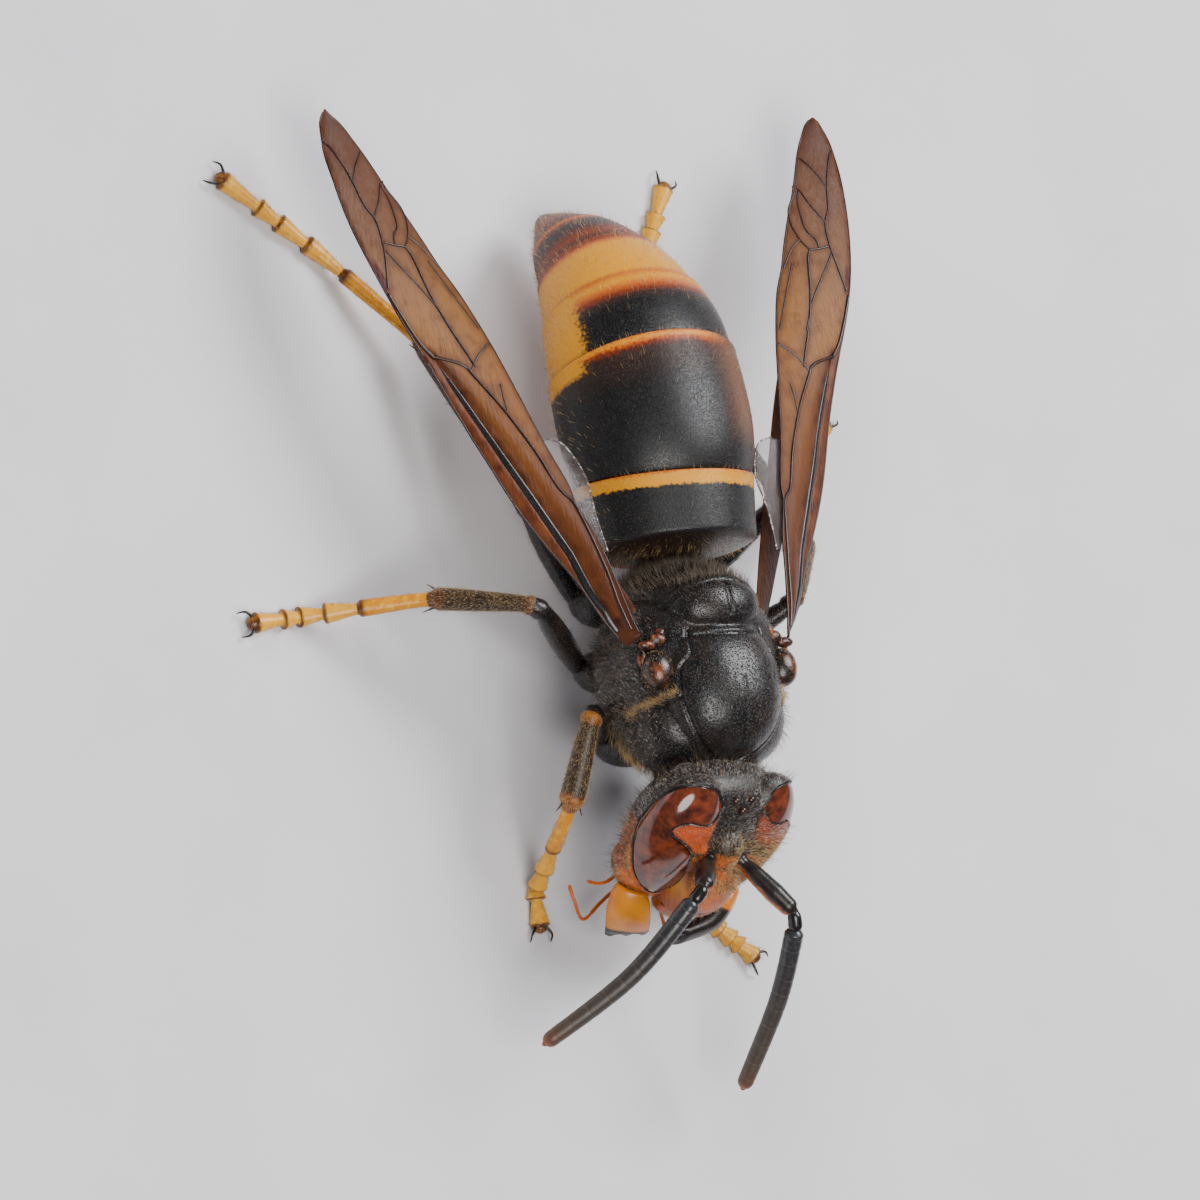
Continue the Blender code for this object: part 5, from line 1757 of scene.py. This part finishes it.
def make_shin(place, route):
    """The shin with two spurs at its far end, thicker and warmer in colour on a front leg."""
    knee, ankle = LEGS[place][2:4]
    front = place.startswith("front")
    route = even(route, 60)
    radii = np.interp(LEG_SHARES, (0.0, 0.04, 0.1, 0.16, 0.35, 0.6, 0.82, 0.93, 0.97, 1.0),
                      (0.22, 0.28, 0.22, 0.23, 0.26, 0.29, 0.31, 0.31, 0.28, 0.22))
    shin = tube("shin_" + place, route, radii * (1.18 if front else 1.04), sides=28)
    heading = unit(spread(ankle) - knee)
    sideways = unit(np.cross(heading, (0.0, 0.0, 1.0)))
    spurs = []
    for side in (-1, 1):
        start = route[-5] - heading * 0.05 + sideways * side * 0.18
        ahead = unit(heading + sideways * side * 0.55)
        spurs.append(tube("spur", start + ahead * np.linspace(0.0, 0.52, 8)[:, None],
                          np.linspace(0.045, 0.012, 8), sides=10))
    mark(shin, "warm", np.full(len(shin.data.vertices), 1.0 if front else 0.15))
    shin = joined("shin_" + place, [shin, *spurs])
    grow("shin_down_" + place, shin, golden_hair, "cuticle_brown", count=3400, length=0.075,
         thickness=0.0085, lie=heading, stand=20.0, seed=101)
    grow("shin_hair_" + place, shin, brown_hair, "cuticle_brown", count=260, length=0.17,
         thickness=0.008, lie=heading, stand=50.0, seed=102)
    settle(shin, kept(shin_look), "cuticle_brown", "tibia_" + place)


def make_claws(touch, foot):
    """Two bent claws at the end of a foot."""
    heading = unit(spread(foot) - touch)
    sideways = unit(np.cross(heading, (0.0, 0.0, 1.0)))
    claws = []
    for side in (-1, 1):
        base = spread(foot) - heading * 0.1 + sideways * side * 0.08
        bend = base + heading * 0.3 + sideways * side * 0.25 + (0.0, 0.0, 0.06)
        tip = bend + heading * 0.22 + sideways * side * 0.02 + (0.0, 0.0, -0.14)
        claw = tube("claw", through((base, bend, tip), np.linspace(0, 1, 14)),
                    np.linspace(0.06, 0.015, 14), sides=10)
        mark(claw, "claw", np.full(len(claw.data.vertices), 1.0))
        claws.append(claw)
    return claws


def make_toe(place, route):
    """The foot's five joints, each wider at its end, and its claws. It stays over the floor."""
    ankle, touch, foot = LEGS[place][3:]
    route = even([*route[:-1], spread(touch), spread(foot)], 160)
    shares = np.linspace(0.0, 1.0, 160)
    cuts = spread(TOE_CUTS)
    index = np.clip(np.searchsorted(cuts, shares, side="right") - 1, 0, 4)
    inner = (shares - cuts[index]) / (cuts[index + 1] - cuts[index])
    flare = np.where(index == 0, 0.72 + 0.2 * inner, 0.6 + 0.55 * inner ** 1.1)
    flare = flare * (1.0 - 0.35 * ease(0.94, 1.0, inner))
    radii = TOE_RADIUS * np.stack([flare * 0.92, flare * 1.06], axis=1)
    toe = tube("toe_" + place, route, radii, sides=24)
    mark(toe, "ring", np.interp(reading(toe, "along"), shares, ease(0.84, 0.95, inner)))
    toe = joined("toe_" + place, [toe, *make_claws(touch, foot)])
    along_foot = unit(spread(foot) - ankle)
    down = coat("toe_down_" + place, toe, count=900, length=0.06, thickness=0.0075,
                lie=along_foot, stand=22.0, seed=103)
    bristles = coat("toe_bristles_" + place, toe, count=170, length=0.13, thickness=0.012,
                    lie=along_foot, stand=40.0, seed=104)
    for piece in (toe, down, bristles):
        points = places(piece)
        points[:, 2] = np.maximum(points[:, 2], FLOOR_GAP - STANCE)
        put(piece, points)
    settle(down, kept(golden_hair), "cuticle_yellow")
    settle(bristles, kept(brown_hair), "cuticle_yellow")
    settle(toe, kept(toe_look), "cuticle_yellow", "tarsus_" + place)


def make_leg(place):
    """A leg in three lengths, with rounded corners between them."""
    thigh, shin, toe = softened(LEGS[place][1:5], bend=0.7)
    make_thigh(place, thigh)
    make_shin(place, shin)
    make_toe(place, toe)


# Stage

# The photograph's view: what the camera looks at, in mm from the thorax, and its directions
TARGET = (-2.131, 2.082, -1.034)
TOWARDS_CAMERA = (-0.565, -0.174, 0.807)
TO_THE_RIGHT = (0.825, -0.137, 0.548)
CAMERA_DISTANCE = 260.0
SENSOR_WIDTH = 36.0
LENS = 273.0
# Lamps: place in metres from the target, size in metres, watts and colour
LAMPS = {
    "key": ((-0.044, -0.077, 0.168), 0.12, 0.34, (1.0, 0.98, 0.95)),
    "top": ((0.114, 0.066, 0.154), 0.12, 0.50, (0.97, 0.98, 1.0)),
    "back": ((-0.06, 0.17, 0.10), 0.08, 0.2, (1.0, 1.0, 1.0)),
}
SKY_COLOUR = (0.80, 0.82, 0.88, 1.0)
SKY_STRENGTH = 0.2


def make_floor():
    """A pale floor, a little mottled."""
    deselect()
    bpy.ops.mesh.primitive_plane_add(size=1.0)
    floor = renamed(bpy.context.object, "floor")
    look = Look("floor", 0.7)
    tone = look.noise(8.0, 3.0)
    look.colour(look.ramp(tone, ((0.3, (0.66, 0.65, 0.68)), (0.7, (0.72, 0.71, 0.74)))))
    floor.data.materials.append(look.material)


def set_camera(target):
    """A long lens far from the target, with the photograph's directions."""
    towards = Vector(TOWARDS_CAMERA).normalized()
    right = Vector(TO_THE_RIGHT)
    right = (right - towards * right.dot(towards)).normalized()
    up = towards.cross(right)
    data = bpy.data.cameras.new("view")
    data.sensor_width = SENSOR_WIDTH
    data.lens = LENS
    data.clip_start = 0.01
    data.clip_end = 10.0
    camera = bpy.data.objects.new("view", data)
    bpy.context.scene.collection.objects.link(camera)
    camera.location = target + towards * (CAMERA_DISTANCE * MM)
    camera.rotation_mode = "QUATERNION"
    camera.rotation_quaternion = Matrix((right, up, towards)).transposed().to_quaternion()
    bpy.context.scene.camera = camera


def set_lamps(target):
    """Round soft lamps; the one behind leaves no mirror image on the wings."""
    for name, (place, size, power, colour) in LAMPS.items():
        data = bpy.data.lights.new(name, "AREA")
        data.shape = "DISK"
        data.size = size
        data.energy = power
        data.color = colour
        lamp = bpy.data.objects.new(name, data)
        bpy.context.scene.collection.objects.link(lamp)
        lamp.location = target + Vector(place)
        away = lamp.location - target
        lamp.rotation_mode = "QUATERNION"
        lamp.rotation_quaternion = away.to_track_quat("Z", "Y")
        lamp.visible_glossy = name != "back"


def make_stage():
    """Pale floor, soft lights, and the camera at the photograph's angle."""
    target = ORIGIN + Vector(TARGET) * MM
    make_floor()
    set_camera(target)
    set_lamps(target)
    world = bpy.data.worlds.new("studio")
    world.use_nodes = True
    sky = world.node_tree.nodes["Background"]
    sky.inputs["Color"].default_value = SKY_COLOUR
    sky.inputs["Strength"].default_value = SKY_STRENGTH
    bpy.context.scene.world = world


# What a user can change

class HornetSizes(bpy.types.PropertyGroup):
    hair_count: FloatProperty(
        name="Hair count", description="Share of the hairs that is made", default=1.0,
        min=0.05, max=1.0, subtype="FACTOR")


class HornetColours(bpy.types.PropertyGroup):
    black: FloatVectorProperty(
        name="Black cuticle", description="Colour of the black plates", size=3,
        subtype="COLOR", min=0.0, max=1.0, default=(0.004, 0.004, 0.0045))
    orange: FloatVectorProperty(
        name="Orange cuticle", description="Colour of the orange bands and face", size=3,
        subtype="COLOR", min=0.0, max=1.0, default=(0.50, 0.10, 0.002))
    yellow: FloatVectorProperty(
        name="Yellow cuticle", description="Colour of the yellow bands and feet", size=3,
        subtype="COLOR", min=0.0, max=1.0, default=(0.66, 0.27, 0.0))
    eye: FloatVectorProperty(
        name="Eye", description="Colour of the eyes", size=3,
        subtype="COLOR", min=0.0, max=1.0, default=(0.085, 0.016, 0.005))


class HORNET_OT_stage(bpy.types.Operator):
    """Add the floor, the lights and the camera"""
    bl_idname = "hornet.stage"
    bl_label = "Stage"

    def execute(self, context):
        make_stage()
        return {"FINISHED"}


class HORNET_OT_gaster(bpy.types.Operator):
    """Dress the six segments of the gaster"""
    bl_idname = "hornet.gaster"
    bl_label = "Gaster"

    def execute(self, context):
        make_gaster()
        return {"FINISHED"}


class HORNET_OT_thorax(bpy.types.Operator):
    """Dress the thorax and its shoulder scales"""
    bl_idname = "hornet.thorax"
    bl_label = "Thorax"

    def execute(self, context):
        make_thorax()
        return {"FINISHED"}


class HORNET_OT_head(bpy.types.Operator):
    """Dress the head with its eyes, jaws and antennae"""
    bl_idname = "hornet.head"
    bl_label = "Head"

    def execute(self, context):
        make_head()
        return {"FINISHED"}


class HORNET_OT_wings(bpy.types.Operator):
    """Dress the four wings"""
    bl_idname = "hornet.wings"
    bl_label = "Wings"

    def execute(self, context):
        for name, side in SIDES:
            make_forewing(name, side)
            make_fold(name, side)
            make_lobe(name, side)
            make_hindwing(name, side)
        return {"FINISHED"}


class HORNET_OT_legs(bpy.types.Operator):
    """Dress the six legs"""
    bl_idname = "hornet.legs"
    bl_label = "Legs"

    def execute(self, context):
        for place in LEGS:
            make_leg(place)
        return {"FINISHED"}


class HORNET_PT_pieces(bpy.types.Panel):
    """The sizes, the colours and a button for each group of pieces"""
    bl_label = "Asian hornet"
    bl_idname = "HORNET_PT_pieces"
    bl_space_type = "VIEW_3D"
    bl_region_type = "UI"
    bl_category = "Hornet"

    def draw(self, context):
        for group in (context.scene.hornet_sizes, context.scene.hornet_colours):
            for name in group.__annotations__:
                self.layout.prop(group, name)
        for operator in OPERATORS:
            self.layout.operator(operator.bl_idname)


OPERATORS = (HORNET_OT_stage, HORNET_OT_gaster, HORNET_OT_thorax, HORNET_OT_head,
             HORNET_OT_wings, HORNET_OT_legs)
CLASSES = (HornetSizes, HornetColours, *OPERATORS, HORNET_PT_pieces)


def register():
    """Make the properties, the operators and the panel known to Blender."""
    for made in CLASSES:
        bpy.utils.register_class(made)
    bpy.types.Scene.hornet_sizes = PointerProperty(type=HornetSizes)
    bpy.types.Scene.hornet_colours = PointerProperty(type=HornetColours)


def unregister():
    """Take them away again, the last first."""
    del bpy.types.Scene.hornet_colours
    del bpy.types.Scene.hornet_sizes
    for made in reversed(CLASSES):
        bpy.utils.unregister_class(made)


def main():
    """Dress the model."""
    register()
    bpy.ops.hornet.stage()
    bpy.ops.hornet.gaster()
    bpy.ops.hornet.thorax()
    bpy.ops.hornet.head()
    bpy.ops.hornet.wings()
    bpy.ops.hornet.legs()


if __name__ == "__main__":
    main()
